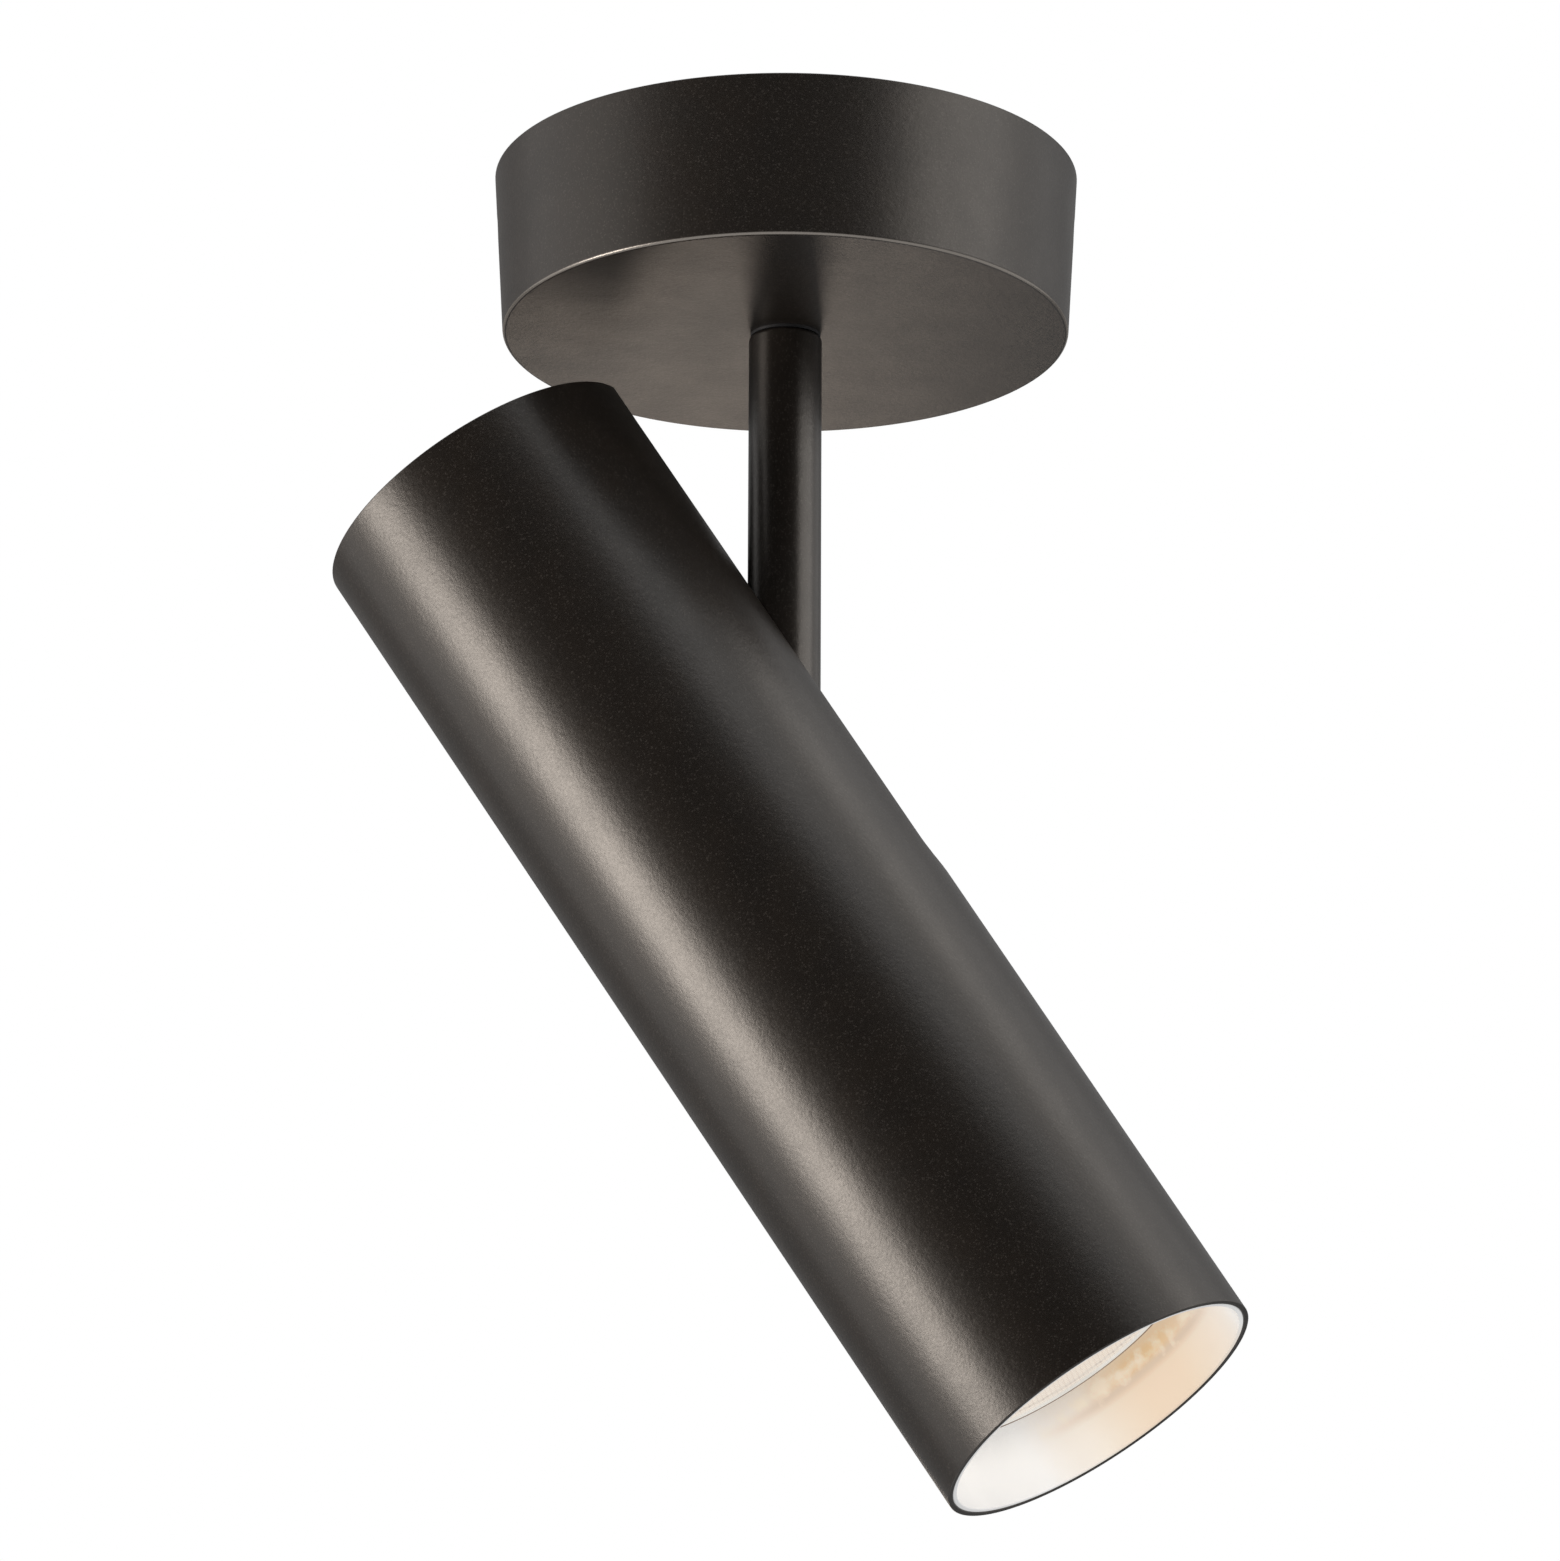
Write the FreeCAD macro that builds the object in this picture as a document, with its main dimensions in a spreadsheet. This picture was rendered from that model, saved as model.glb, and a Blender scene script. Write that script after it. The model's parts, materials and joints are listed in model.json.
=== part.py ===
import FreeCAD, Part

import math
import os
import re

import Sketcher

# Surface mounted ceiling spotlight: a round cup against the ceiling, a straight hollow stem that
# swivels under it, and a slotted tube that tilts on the stem's lower end and holds a twist lock
# reflector lamp.
#
# The origin is the centre of the ceiling plane, +Z is up and everything hangs below it. At rest
# the tube leans to +X and is turned a little to -Y.

# Driving sizes, in millimetres and degrees. Each one can be changed by itself.
SIZES = {
    # rest position
    "swivel_angle": -8.0,
    "tilt_angle": 32.55,
    # clearances
    "fit_clearance": 0.03,
    "running_clearance": 0.05,
    # ceiling cup
    "canopy_top_radius": 50.9,
    "canopy_bottom_radius": 49.3,
    "canopy_height": 28.9,
    "canopy_wall": 1.0,
    "canopy_edge_radius": 1.6,
    # strap that carries the cup
    "strap_thickness": 1.5,
    "strap_half_width": 12.5,
    "ear_half_width": 8.0,
    "ear_height": 16.0,
    "ear_clearance": 1.08,
    "slot_spread": 34.0,
    "slot_half_run": 4.75,
    "slot_half_width": 2.25,
    "cable_hole_radius": 8.0,
    # set screws of the cup
    "cup_screw_radius": 2.0,
    "cup_screw_length": 8.0,
    "cup_screw_drop": 9.0,
    "cup_screw_key": 2.0,
    "cup_screw_key_depth": 2.6,
    "cup_screw_play": 0.12,
    "screw_sink": 0.3,
    # terminals on the strap
    "block_offset": 19.0,
    "block_half_depth": 7.0,
    "block_pitch": 9.0,
    "block_height": 12.5,
    "block_lead_drop": 5.5,
    "block_entry_radius": 1.3,
    "terminal_screw_radius": 1.5,
    "terminal_screw_length": 4.0,
    "terminal_screw_spread": 3.2,
    "block_screw_radius": 1.5,
    "block_screw_head_radius": 2.5,
    "block_screw_head_height": 2.0,
    "block_screw_depth": 3.0,
    "earth_offset": 19.0,
    "earth_screw_radius": 2.0,
    "earth_screw_head_radius": 4.0,
    "earth_screw_head_height": 2.6,
    # swivel stack on the cup's floor
    "thrust_thickness": 0.5,
    "thrust_inset": 0.25,
    "bush_wall": 0.8,
    "bush_key_half_width": 1.0,
    "bush_key_height": 0.3,
    "flange_radius": 11.0,
    "flange_thickness": 1.2,
    "stop_radius": 10.5,
    "stop_lug_half_width": 0.9,
    "stop_lug_height": 1.6,
    "stop_lug_gap": 0.3,
    "stop_arm_half_width": 0.75,
    "stop_washer_radius": 8.2,
    "stop_washer_thickness": 1.2,
    "key_half_width": 0.7,
    "key_depth": 0.7,
    "spring_height": 1.5,
    "spring_thickness": 0.9,
    "spring_radius": 8.0,
    "swivel_nut_flats": 14.0,
    "swivel_nut_height": 5.0,
    "nipple_tip": 2.0,
    "nipple_depth": 12.0,
    "nipple_bore": 3.7,
    # stem
    "stem_radius": 6.35,
    "stem_wall": 1.3,
    "stem_edge_radius": 0.8,
    # tilt joint
    "pivot_drop": 139.4,
    "pivot_radius": 2.5,
    "knuckle_radius": 6.5,
    "knuckle_half_thickness": 2.0,
    "knuckle_half_neck": 4.5,
    "knuckle_reach": 9.5,
    "knuckle_overlap": 3.0,
    "plug_length": 10.0,
    "plug_bore": 3.9,
    "fork_cheek": 3.0,
    "fork_gap": 2.0,
    "fork_base": 4.0,
    "fork_screw_radius": 2.5,
    "fork_screw_head_radius": 4.2,
    "fork_screw_head_height": 3.0,
    "fork_screw_key": 4.0,
    "fork_screw_key_depth": 1.5,
    "pivot_washer_radius": 4.6,
    "pivot_washer_thickness": 0.8,
    "pivot_head_radius": 4.2,
    "pivot_head_height": 2.6,
    "pivot_key": 3.0,
    "pivot_key_depth": 1.7,
    "pivot_nut_flats": 8.0,
    "pivot_nut_height": 4.0,
    "pivot_tip": 0.5,
    # tube
    "tube_radius": 30.0,
    "tube_wall": 1.0,
    "tail_length": 99.8,
    "rim_break": 0.2,
    "slot_clearance": 0.65,
    "cap_recess": 0.6,
    "cap_thickness": 1.0,
    "cap_skirt": 6.0,
    "sleeve_wall": 0.8,
    "sleeve_inset": 0.4,
    # carrier across the tube
    "plate_thickness": 1.5,
    "tab_length": 8.0,
    "tab_half_width": 5.0,
    "tube_screw_radius": 1.5,
    "tube_screw_length": 6.0,
    "tube_screw_key": 1.5,
    "tube_screw_key_depth": 2.0,
    "pillar_offset": 9.5,
    "pillar_radius": 2.75,
    "pillar_length": 9.0,
    "pillar_screw_radius": 1.5,
    "pillar_screw_head_radius": 2.6,
    "pillar_screw_head_height": 1.8,
    "pillar_screw_grip": 4.0,
    "grommet_offset": 12.0,
    "grommet_radius": 4.0,
    "grommet_bore": 2.4,
    "grommet_lip": 1.2,
    "grommet_lip_height": 1.0,
    "tag_offset": 14.0,
    "tag_side": 8.0,
    "tag_radius": 3.0,
    "tag_thickness": 0.8,
    "tag_arm_length": 5.0,
    "tag_arm_half_width": 1.2,
    "tag_grip": 1.7,
    "tag_screw_radius": 1.5,
    "tag_screw_head_radius": 2.6,
    "tag_screw_head_height": 1.8,
    # leads
    "lead_radius": 0.7,
    "lead_spread": 0.75,
    "lead_stand": 2.85,
    "lead_tail": 2.0,
    "lead_stub": 1.0,
    "lead_gap": 0.42,
    "lead_bend": 2.8,
    "holder_lead_offset": 6.0,
    "holder_lead_depth": 3.0,
    # twist lock lampholder
    "holder_radius": 15.0,
    "holder_body_height": 13.8,
    "holder_face_height": 3.2,
    "holder_head_sink": 0.2,
    "holder_screw_grip": 4.0,
    "pin_circle": 5.0,
    "pin_neck_radius": 1.6,
    "pin_head_radius": 2.4,
    "pin_head_height": 3.2,
    "pin_root": 3.0,
    "pin_play": 0.3,
    "lock_angle": 20.0,
    "pocket_depth": 4.5,
    "contact_half_width": 1.6,
    "contact_thickness": 0.8,
    "contact_angle": 60.0,
    # lamp
    "lamp_recess": 12.5,
    "lamp_length": 48.0,
    "lamp_radius": 25.0,
    "lamp_ring_height": 4.5,
    "lamp_wall": 1.5,
    "lamp_neck_radius": 13.0,
    "lamp_neck_height": 3.0,
    "lamp_cap_radius": 11.0,
    "lamp_cap_length": 12.0,
    "lamp_spigot_radius": 9.5,
    "lamp_spigot_length": 4.0,
    "lens_inset": 0.4,
    "lens_thickness": 2.0,
    "lens_ledge": 1.1,
    "board_depth": 8.0,
    "board_thickness": 1.6,
    "board_ledge": 2.9,
    "emitter_half_width": 1.4,
    "emitter_height": 0.7,
    "emitter_circle": 11.0,
}

EMITTERS_ON_CIRCLE = 6
TERMINAL_WAYS = 3
PAIR = 2

# How far a cut runs past the faces that it goes through.
CUT_MARGIN = 1
# Share of the shorter of two runs that the arc between them takes from each.
ARC_SHARE = 0.45
# Most that a lead's volume may differ from its section times its length.
VOLUME_MATCH = 0.01

# Sizes and levels that follow from the driving ones.
DERIVED = {
    # levels under the ceiling, along the stem
    "canopy_floor": "-(canopy_height - canopy_wall)",
    "flange_top": "canopy_floor + flange_thickness",
    "stop_washer_top": "flange_top + stop_washer_thickness",
    "spring_top": "stop_washer_top + spring_height",
    "swivel_nut_top": "spring_top + swivel_nut_height",
    "nipple_top": "swivel_nut_top + nipple_tip",
    "stem_top": "-(canopy_height + thrust_thickness)",
    "nipple_foot": "stem_top - nipple_depth",
    "stem_lead_top": "nipple_top + lead_stub",
    "stem_foot": "-(pivot_drop - knuckle_reach)",
    "cup_screw_level": "-cup_screw_drop",
    # radii along the stem
    "stem_bore": "stem_radius - stem_wall",
    "nipple_radius": "stem_bore - fit_clearance",
    "nipple_hole": "nipple_radius + running_clearance",
    "bush_radius": "nipple_hole + bush_wall",
    "cup_hole": "bush_radius + fit_clearance",
    "bush_key_reach": "bush_radius + bush_key_height",
    # strap
    "cup_bore": "canopy_bottom_radius - canopy_wall",
    "cup_mouth": "canopy_top_radius - canopy_wall",
    "cup_taper": "(canopy_top_radius - canopy_bottom_radius) / canopy_height",
    "cup_width": "max(canopy_top_radius; canopy_bottom_radius)",
    "ear_room": "min(cup_mouth; cup_mouth - cup_taper * ear_height)",
    "ear_span": "sqrt(ear_room * ear_room - ear_half_width * ear_half_width)",
    "strap_span": "sqrt(cup_mouth * cup_mouth - strap_half_width * strap_half_width)",
    "ear_reach": "min(ear_span; strap_span) - ear_clearance",
    "cup_screw_end": "canopy_top_radius - cup_taper * cup_screw_drop - screw_sink",
    "block_foot": "-(strap_thickness + block_height)",
    "block_half_length": "block_pitch * %d / 2" % TERMINAL_WAYS,
    "block_row": "block_pitch * %d" % (TERMINAL_WAYS - 1),
    "lead_level": "-(strap_thickness + block_lead_drop)",
    "terminal_screw_top": "lead_level - lead_radius - running_clearance",
    # tilt joint, in the tube's own frame: the origin is the pivot, +Z the tube's upper end
    "cheek_inside": "knuckle_half_thickness + running_clearance",
    "cheek_outside": "cheek_inside + fork_cheek",
    "washer_outside": "cheek_outside + pivot_washer_thickness",
    "fork_floor": "-(knuckle_radius + fork_gap)",
    # tube
    "slot_radius": "stem_radius + slot_clearance",
    "tube_bore": "tube_radius - tube_wall",
    "seat_radius": "tube_bore - fit_clearance",
    "cap_top": "tail_length - cap_recess",
    "cap_foot": "cap_top - cap_skirt",
    # carrier and what hangs from it
    "plate_top": "fork_floor - fork_base",
    "plate_foot": "plate_top - plate_thickness",
    "tab_foot": "plate_foot - tab_length",
    "tube_screw_level": "plate_foot - tab_length / 2",
    "tube_screw_end": "tube_radius - screw_sink",
    "holder_top": "plate_foot - pillar_length",
    "holder_split": "holder_top - holder_body_height",
    "holder_foot": "holder_split - holder_face_height",
    "holder_screw_seat": "holder_foot + holder_head_sink + pillar_screw_head_height",
    "pocket_top": "holder_split + pocket_depth",
    "pocket_radius": "pin_head_radius + pin_play + fit_clearance",
    # lamp
    "lamp_seat": "holder_foot - running_clearance",
    "pin_step": "holder_split + pin_play",
    "lamp_face": "lamp_seat - lamp_length",
    "lamp_cap_foot": "lamp_seat - lamp_cap_length",
    "mouth_level": "lamp_face - lamp_recess",
    "lens_radius": "lamp_radius - lamp_wall - fit_clearance",
    "lens_foot": "lamp_face + lens_inset",
    "lens_top": "lens_foot + lens_thickness",
    "board_foot": "lamp_face + board_depth - board_thickness",
    "board_top": "lamp_face + board_depth",
    "board_seat_radius": "lamp_radius - lamp_wall - lens_ledge",
}

# Each frame is a placement: the still ceiling side, the stem, its lower eye and the tilting tube.
CEILING = "placement(vector(0; 0; 0); rotation(0; 0; 0))"
STEM = "placement(vector(0; 0; 0); rotation(swivel_angle; 0; 0))"
KNUCKLE = "placement(vector(0; 0; -pivot_drop); rotation(swivel_angle; 0; 0))"
HEAD = "placement(vector(0; 0; -pivot_drop); rotation(swivel_angle; -tilt_angle; 0))"

# Places across the strap: the first way's two clamp screws, and the connector's own screw.
FIRST_TERMINALS = (
    ("-block_offset + terminal_screw_spread", "-block_row / 2"),
    ("-block_offset - terminal_screw_spread", "-block_row / 2"),
)
BLOCK_SCREW = ("-block_offset", "block_pitch / 2")

# Where the three leads stand in the stem, beside the flat neck of the eye.
STEM_LEADS = (("0", "-lead_stand"), ("lead_spread", "lead_stand"), ("-lead_spread", "lead_stand"))

# A sketch's points: the start, end and centre of an edge, and the sketch's own origin.
START = 1
END = 2
CENTRE = 3
ORIGIN = (-1, 1)

WORD = re.compile(r"[a-z][a-z_]*[a-z]")
TOUCH = 1e-6

document = FreeCAD.newDocument("ceiling_spotlight")
sheet = document.addObject("Spreadsheet::Sheet", "Sizes")
nodes = []


def fill_sheet():
    """Write each driving size and its name into the sheet."""
    for row, (name, size) in enumerate(SIZES.items(), start=1):
        sheet.set("A%d" % row, name)
        sheet.set("B%d" % row, str(size))
        sheet.setAlias("B%d" % row, name)
    document.recompute()


def bound(text):
    """Write a text of size names as an expression on the sheet's cells."""

    def cell(match):
        word = match.group(0)
        if word in DERIVED:
            return "(" + bound(DERIVED[word]) + ")"
        if word in SIZES:
            return "Sizes." + word
        return word

    return WORD.sub(cell, text)


def value(text):
    """Work out the present value of a text of size names."""
    return float(sheet.evalExpression(bound(text)))


def short_of(place):
    """A little before a place, where a cut starts outside the solid."""
    return "(%s) - %s" % (place, CUT_MARGIN)


def past(place):
    """A little past a place, where a cut ends outside the solid."""
    return "(%s) + %s" % (place, CUT_MARGIN)


def tie(sketch, kind, edge, end, text):
    """Dimension one point of a sketch from the sketch's origin."""
    constraint = Sketcher.Constraint(kind, *ORIGIN, edge, end, value(text))
    number = sketch.addConstraint(constraint)
    sketch.setExpression("Constraints[%d]" % number, bound(text))


def polygon(*corners):
    """Outline with a corner at each pair of texts."""

    def draw(sketch):
        first = sketch.GeometryCount
        places = [FreeCAD.Vector(value(u), value(v), 0) for u, v in corners]
        count = len(places)
        for index, place in enumerate(places):
            line = Part.LineSegment(place, places[(index + 1) % count])
            sketch.addGeometry(line, False)
        for index in range(count):
            following = first + (index + 1) % count
            meeting = Sketcher.Constraint("Coincident", first + index, END, following, START)
            sketch.addConstraint(meeting)
        for index, (u, v) in enumerate(corners):
            tie(sketch, "DistanceX", first + index, START, u)
            tie(sketch, "DistanceY", first + index, START, v)

    return draw


def rectangle(left, low, right, high):
    """Outline of an upright rectangle."""
    return polygon((left, low), (right, low), (right, high), (left, high))


def hexagon(flats):
    """Hexagon round the origin, with its size across the flats."""
    corner = "(" + flats + ") / 2 / cos(30)"
    return polygon(*[
        ("%s * cos(%d)" % (corner, turn), "%s * sin(%d)" % (corner, turn))
        for turn in range(0, 360, 60)
    ])


def circle(u, v, radius):
    """Outline of a circle."""

    def draw(sketch):
        edge = sketch.GeometryCount
        centre = FreeCAD.Vector(value(u), value(v), 0)
        sketch.addGeometry(Part.Circle(centre, FreeCAD.Vector(0, 0, 1), value(radius)), False)
        tie(sketch, "DistanceX", edge, CENTRE, u)
        tie(sketch, "DistanceY", edge, CENTRE, v)
        number = sketch.addConstraint(Sketcher.Constraint("Radius", edge, value(radius)))
        sketch.setExpression("Constraints[%d]" % number, bound(radius))

    return draw


def ring_edge(radius, level):
    """Choice of the round edges about the Z axis at a radius and a level."""
    wanted_radius = value(radius)
    wanted_level = value(level)

    def chosen(edge):
        curve = edge.Curve
        if not isinstance(curve, Part.Circle):
            return False
        return (
            abs(curve.Radius - wanted_radius) < TOUCH
            and abs(curve.Center.z - wanted_level) < TOUCH
            and math.hypot(curve.Center.x, curve.Center.y) < TOUCH
        )

    return chosen


class Piece:
    """A sub-part: one body whose features are tied to the sheet."""

    def __init__(self, label, frame):
        self.label = label
        self.body = document.addObject("PartDesign::Body", label)
        self.body.Label = label
        self.body.setExpression("Placement", bound(frame))
        nodes.append(self.body)

    def origin(self, role):
        """Find one of the body's own origin planes or axes."""
        return next(item for item in self.body.Origin.OriginFeatures if item.Role == role)

    def sketch(self, plane, offset, outlines):
        """Draw outlines on a plane of the body's origin, moved along its normal."""
        sketch = self.body.newObject("Sketcher::SketchObject", self.label + "_sketch")
        sketch.AttachmentSupport = (self.origin(plane), [""])
        sketch.MapMode = "FlatFace"
        sketch.setExpression("AttachmentOffset.Base.z", bound(offset))
        for draw in outlines:
            draw(sketch)
        return sketch

    def check(self, feature, grows, before):
        """Make sure that a feature added or took away material."""
        document.recompute()
        change = self.body.Shape.Volume - before
        if (change if grows else -change) < TOUCH:
            raise RuntimeError("%s changed nothing in %s" % (feature.Name, self.label))
        return feature

    def volume(self):
        """Volume of the body so far."""
        return 0.0 if self.body.Shape.isNull() else self.body.Shape.Volume

    def spin(self, kind, outlines, plane, axis, angle, symmetric, reverse):
        """Turn outlines about an axis of their own sketch."""
        before = self.volume()
        sketch = self.sketch(plane, "0", outlines)
        feature = self.body.newObject(kind, self.label + "_turned")
        feature.Profile = sketch
        feature.ReferenceAxis = (sketch, [axis])
        feature.setExpression("Angle", bound(angle))
        feature.Midplane = symmetric
        feature.Reversed = reverse
        return self.check(feature, adds_material(feature), before)

    def turn(self, *corners, plane="XZ_Plane", axis="V_Axis", angle="360"):
        """Add a turned solid, from a profile beside the axis."""
        outlines = [polygon(*corners)]
        symmetric = angle != "360"
        return self.spin("PartDesign::Revolution", outlines, plane, axis, angle, symmetric, False)

    def groove(self, *corners, plane="YZ_Plane", angle="360", symmetric=True, reverse=False):
        """Cut a turned groove about the Z axis."""
        outlines = [polygon(*corners)]
        kind = "PartDesign::Groove"
        return self.spin(kind, outlines, plane, "V_Axis", angle, symmetric, reverse)

    def pad(self, low, high, *outlines, plane="XY_Plane"):
        """Add the outlines between two levels along the plane's normal."""
        before = self.volume()
        feature = self.body.newObject("PartDesign::Pad", self.label + "_pad")
        feature.Profile = self.sketch(plane, low, outlines)
        feature.setExpression("Length", bound("(%s) - (%s)" % (high, low)))
        return self.check(feature, True, before)

    def pocket(self, low, high, *outlines, plane="XY_Plane"):
        """Cut the outlines between two levels, downwards from the higher one."""
        before = self.volume()
        feature = self.body.newObject("PartDesign::Pocket", self.label + "_pocket")
        feature.Profile = self.sketch(plane, high, outlines)
        feature.setExpression("Length", bound("(%s) - (%s)" % (high, low)))
        return self.check(feature, False, before)

    def repeat(self, count, *features):
        """Repeat features round the Z axis."""
        before = self.volume()
        grows = adds_material(features[0])
        pattern = self.body.newObject("PartDesign::PolarPattern", self.label + "_pattern")
        pattern.Originals = list(features)
        pattern.Axis = (self.origin("Z_Axis"), [""])
        pattern.Angle = 360
        pattern.Occurrences = count
        self.body.Tip = pattern
        return self.check(pattern, grows, before)

    def row(self, count, spread, *features):
        """Repeat features in a row along Y, the last one at the spread."""
        before = self.volume()
        grows = adds_material(features[0])
        pattern = self.body.newObject("PartDesign::LinearPattern", self.label + "_row")
        pattern.Originals = list(features)
        pattern.Direction = (self.origin("Y_Axis"), [""])
        pattern.setExpression("Length", bound(spread))
        pattern.Occurrences = count
        self.body.Tip = pattern
        return self.check(pattern, grows, before)

    def soften(self, kind, size, *choices):
        """Fillet or chamfer the edges that any of the choices takes."""
        base = self.body.Tip
        names = [
            "Edge%d" % number
            for number, edge in enumerate(base.Shape.Edges, start=1)
            if any(chosen(edge) for chosen in choices)
        ]
        if not names:
            raise RuntimeError("no edge to soften on " + self.label)
        feature = self.body.newObject(kind, self.label + "_edge")
        feature.Base = (base, names)
        size_name = "Radius" if kind == "PartDesign::Fillet" else "Size"
        feature.setExpression(size_name, bound(size))
        document.recompute()
        return feature

    def fillet(self, size, *choices):
        """Round the chosen edges."""
        return self.soften("PartDesign::Fillet", size, *choices)

    def chamfer(self, size, *choices):
        """Break the chosen edges."""
        return self.soften("PartDesign::Chamfer", size, *choices)


def adds_material(feature):
    """Tell whether a feature adds to its body."""
    return feature.TypeId in ("PartDesign::Pad", "PartDesign::Revolution")


def ring(label, frame, inner, outer, low, high):
    """Sub-part that is a plain ring about its frame's Z axis."""
    piece = Piece(label, frame)
    piece.turn((inner, low), (outer, low), (outer, high), (inner, high))
    return piece


def lead_wire(points):
    """Route through the points, straight between tangent arcs."""
    edges = []
    start = points[0]
    for before, corner, after in zip(points, points[1:], points[2:]):
        towards = (before - corner).normalize()
        away = (after - corner).normalize()
        half_turn = (math.pi - towards.getAngle(away)) / 2
        setback = ARC_SHARE * min((before - corner).Length, (after - corner).Length)
        radius = setback / math.tan(half_turn)
        first = corner + towards * setback
        last = corner + away * setback
        inward = (towards + away).normalize()
        middle = corner + inward * (math.hypot(radius, setback) - radius)
        edges.append(Part.makeLine(start, first))
        edges.append(Part.Arc(first, middle, last).toShape())
        start = last
    edges.append(Part.makeLine(start, points[-1]))
    return Part.Wire(edges)


def lead_solid(points):
    """Round lead along a route."""
    route = lead_wire(points)
    along = points[1] - points[0]
    section = Part.Wire(Part.makeCircle(value("lead_radius"), points[0], along))
    solid = route.makePipeShell([section], True, False)
    expected = math.pi * value("lead_radius") ** 2 * route.Length
    if abs(solid.Volume - expected) > VOLUME_MATCH * expected:
        raise RuntimeError("a lead's volume isn't its section times its length")
    return solid


def leads(label, routes, frame):
    """Sub-part of separate leads, from routes in a frame."""
    feature = document.addObject("Part::Feature", label)
    feature.Label = label
    feature.Shape = Part.makeCompound([lead_solid(route) for route in routes])
    feature.setExpression("Placement", bound(frame))
    nodes.append(feature)


def point(*texts):
    """Point from three texts."""
    return FreeCAD.Vector(*[value(text) for text in texts])


# --- ceiling side ---------------------------------------------------------------------------


def ceiling_bracket():
    """Strap against the ceiling, with two ears bent down inside the cup."""
    piece = Piece("ceiling_bracket", CEILING)
    piece.pad("-strap_thickness", "0", rectangle(
        "-ear_reach", "-strap_half_width", "ear_reach", "strap_half_width"))
    ear = piece.pad("-ear_height", "0", rectangle(
        "ear_reach - strap_thickness", "-ear_half_width", "ear_reach", "ear_half_width"))
    piece.repeat(PAIR, ear)
    through = (short_of("-strap_thickness"), past("0"))
    near = "slot_spread - slot_half_run"
    far = "slot_spread + slot_half_run"
    slot = piece.pocket(*through, rectangle(near, "-slot_half_width", far, "slot_half_width"))
    near_end = piece.pocket(*through, circle(near, "0", "slot_half_width"))
    far_end = piece.pocket(*through, circle(far, "0", "slot_half_width"))
    piece.repeat(PAIR, slot, near_end, far_end)
    piece.pocket(*through, circle("0", "0", "cable_hole_radius"))
    piece.pocket(*through, circle("earth_offset", "0", "earth_screw_radius + fit_clearance"))
    piece.pocket(*through, circle(*BLOCK_SCREW, "block_screw_radius + fit_clearance"))
    piece.pocket(short_of("-ear_reach"), past("ear_reach"), circle(
        "0", "cup_screw_level", "cup_screw_radius + fit_clearance"), plane="YZ_Plane")


def canopy_cup():
    """Round cup, open at the ceiling, with the stem's keyed hole in its floor."""
    piece = Piece("canopy_cup", CEILING)
    piece.turn(
        ("0", "-canopy_height"),
        ("canopy_bottom_radius", "-canopy_height"),
        ("canopy_top_radius", "0"),
        ("canopy_top_radius - canopy_wall", "0"),
        ("cup_bore", "canopy_floor"),
        ("0", "canopy_floor"))
    piece.fillet("canopy_edge_radius", ring_edge("canopy_bottom_radius", "-canopy_height"))
    floor = (short_of("-canopy_height"), past("canopy_floor"))
    piece.pocket(*floor, circle("0", "0", "cup_hole"))
    piece.pocket(*floor, rectangle(
        "-bush_key_half_width - fit_clearance", "0",
        "bush_key_half_width + fit_clearance", "bush_key_reach + fit_clearance"))
    piece.pocket(short_of("-cup_width"), past("cup_width"), circle(
        "0", "cup_screw_level", "cup_screw_radius + cup_screw_play"), plane="YZ_Plane")


def canopy_screws():
    """Two set screws through the strap's ears into the cup's side holes."""
    piece = Piece("canopy_screws", CEILING)
    screw = piece.pad("cup_screw_end - cup_screw_length", "cup_screw_end", circle(
        "0", "cup_screw_level", "cup_screw_radius"), plane="YZ_Plane")
    key = piece.pocket("cup_screw_end - cup_screw_key_depth", past("cup_screw_end"), circle(
        "0", "cup_screw_level", "cup_screw_key / 2"), plane="YZ_Plane")
    piece.repeat(PAIR, screw, key)


def terminal_block():
    """Connector strip on the strap, with clamp screws from below."""
    piece = Piece("terminal_block", CEILING)
    piece.pad("block_foot", "-strap_thickness", rectangle(
        "-block_offset - block_half_depth", "-block_half_length",
        "-block_offset + block_half_depth", "block_half_length"))
    entry = piece.pocket(
        short_of("-block_offset - block_half_depth"), past("-block_offset + block_half_depth"),
        circle("-block_row / 2", "lead_level", "block_entry_radius"), plane="YZ_Plane")
    wells = [
        piece.pocket(short_of("block_foot"), "lead_level", circle(
            *place, "terminal_screw_radius + fit_clearance"))
        for place in FIRST_TERMINALS
    ]
    piece.row(TERMINAL_WAYS, "block_row", entry, *wells)
    under = short_of("block_foot")
    piece.pocket(under, "0", circle(*BLOCK_SCREW, "block_screw_radius + fit_clearance"))
    piece.pocket(under, "block_foot + block_screw_depth", circle(
        *BLOCK_SCREW, "block_screw_head_radius + fit_clearance"))


def terminal_screws():
    """Clamp screws of the connector strip."""
    piece = Piece("terminal_screws", CEILING)
    low = "terminal_screw_top - terminal_screw_length"
    screws = [
        piece.pad(low, "terminal_screw_top", circle(*place, "terminal_screw_radius"))
        for place in FIRST_TERMINALS
    ]
    piece.row(TERMINAL_WAYS, "block_row", *screws)


def block_screw():
    """Screw that holds the connector strip on the strap."""
    piece = Piece("block_screw", CEILING)
    seat = "block_foot + block_screw_depth"
    piece.pad(seat, "0", circle(*BLOCK_SCREW, "block_screw_radius"))
    piece.pad(seat + " - block_screw_head_height", seat, circle(
        *BLOCK_SCREW, "block_screw_head_radius"))


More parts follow.
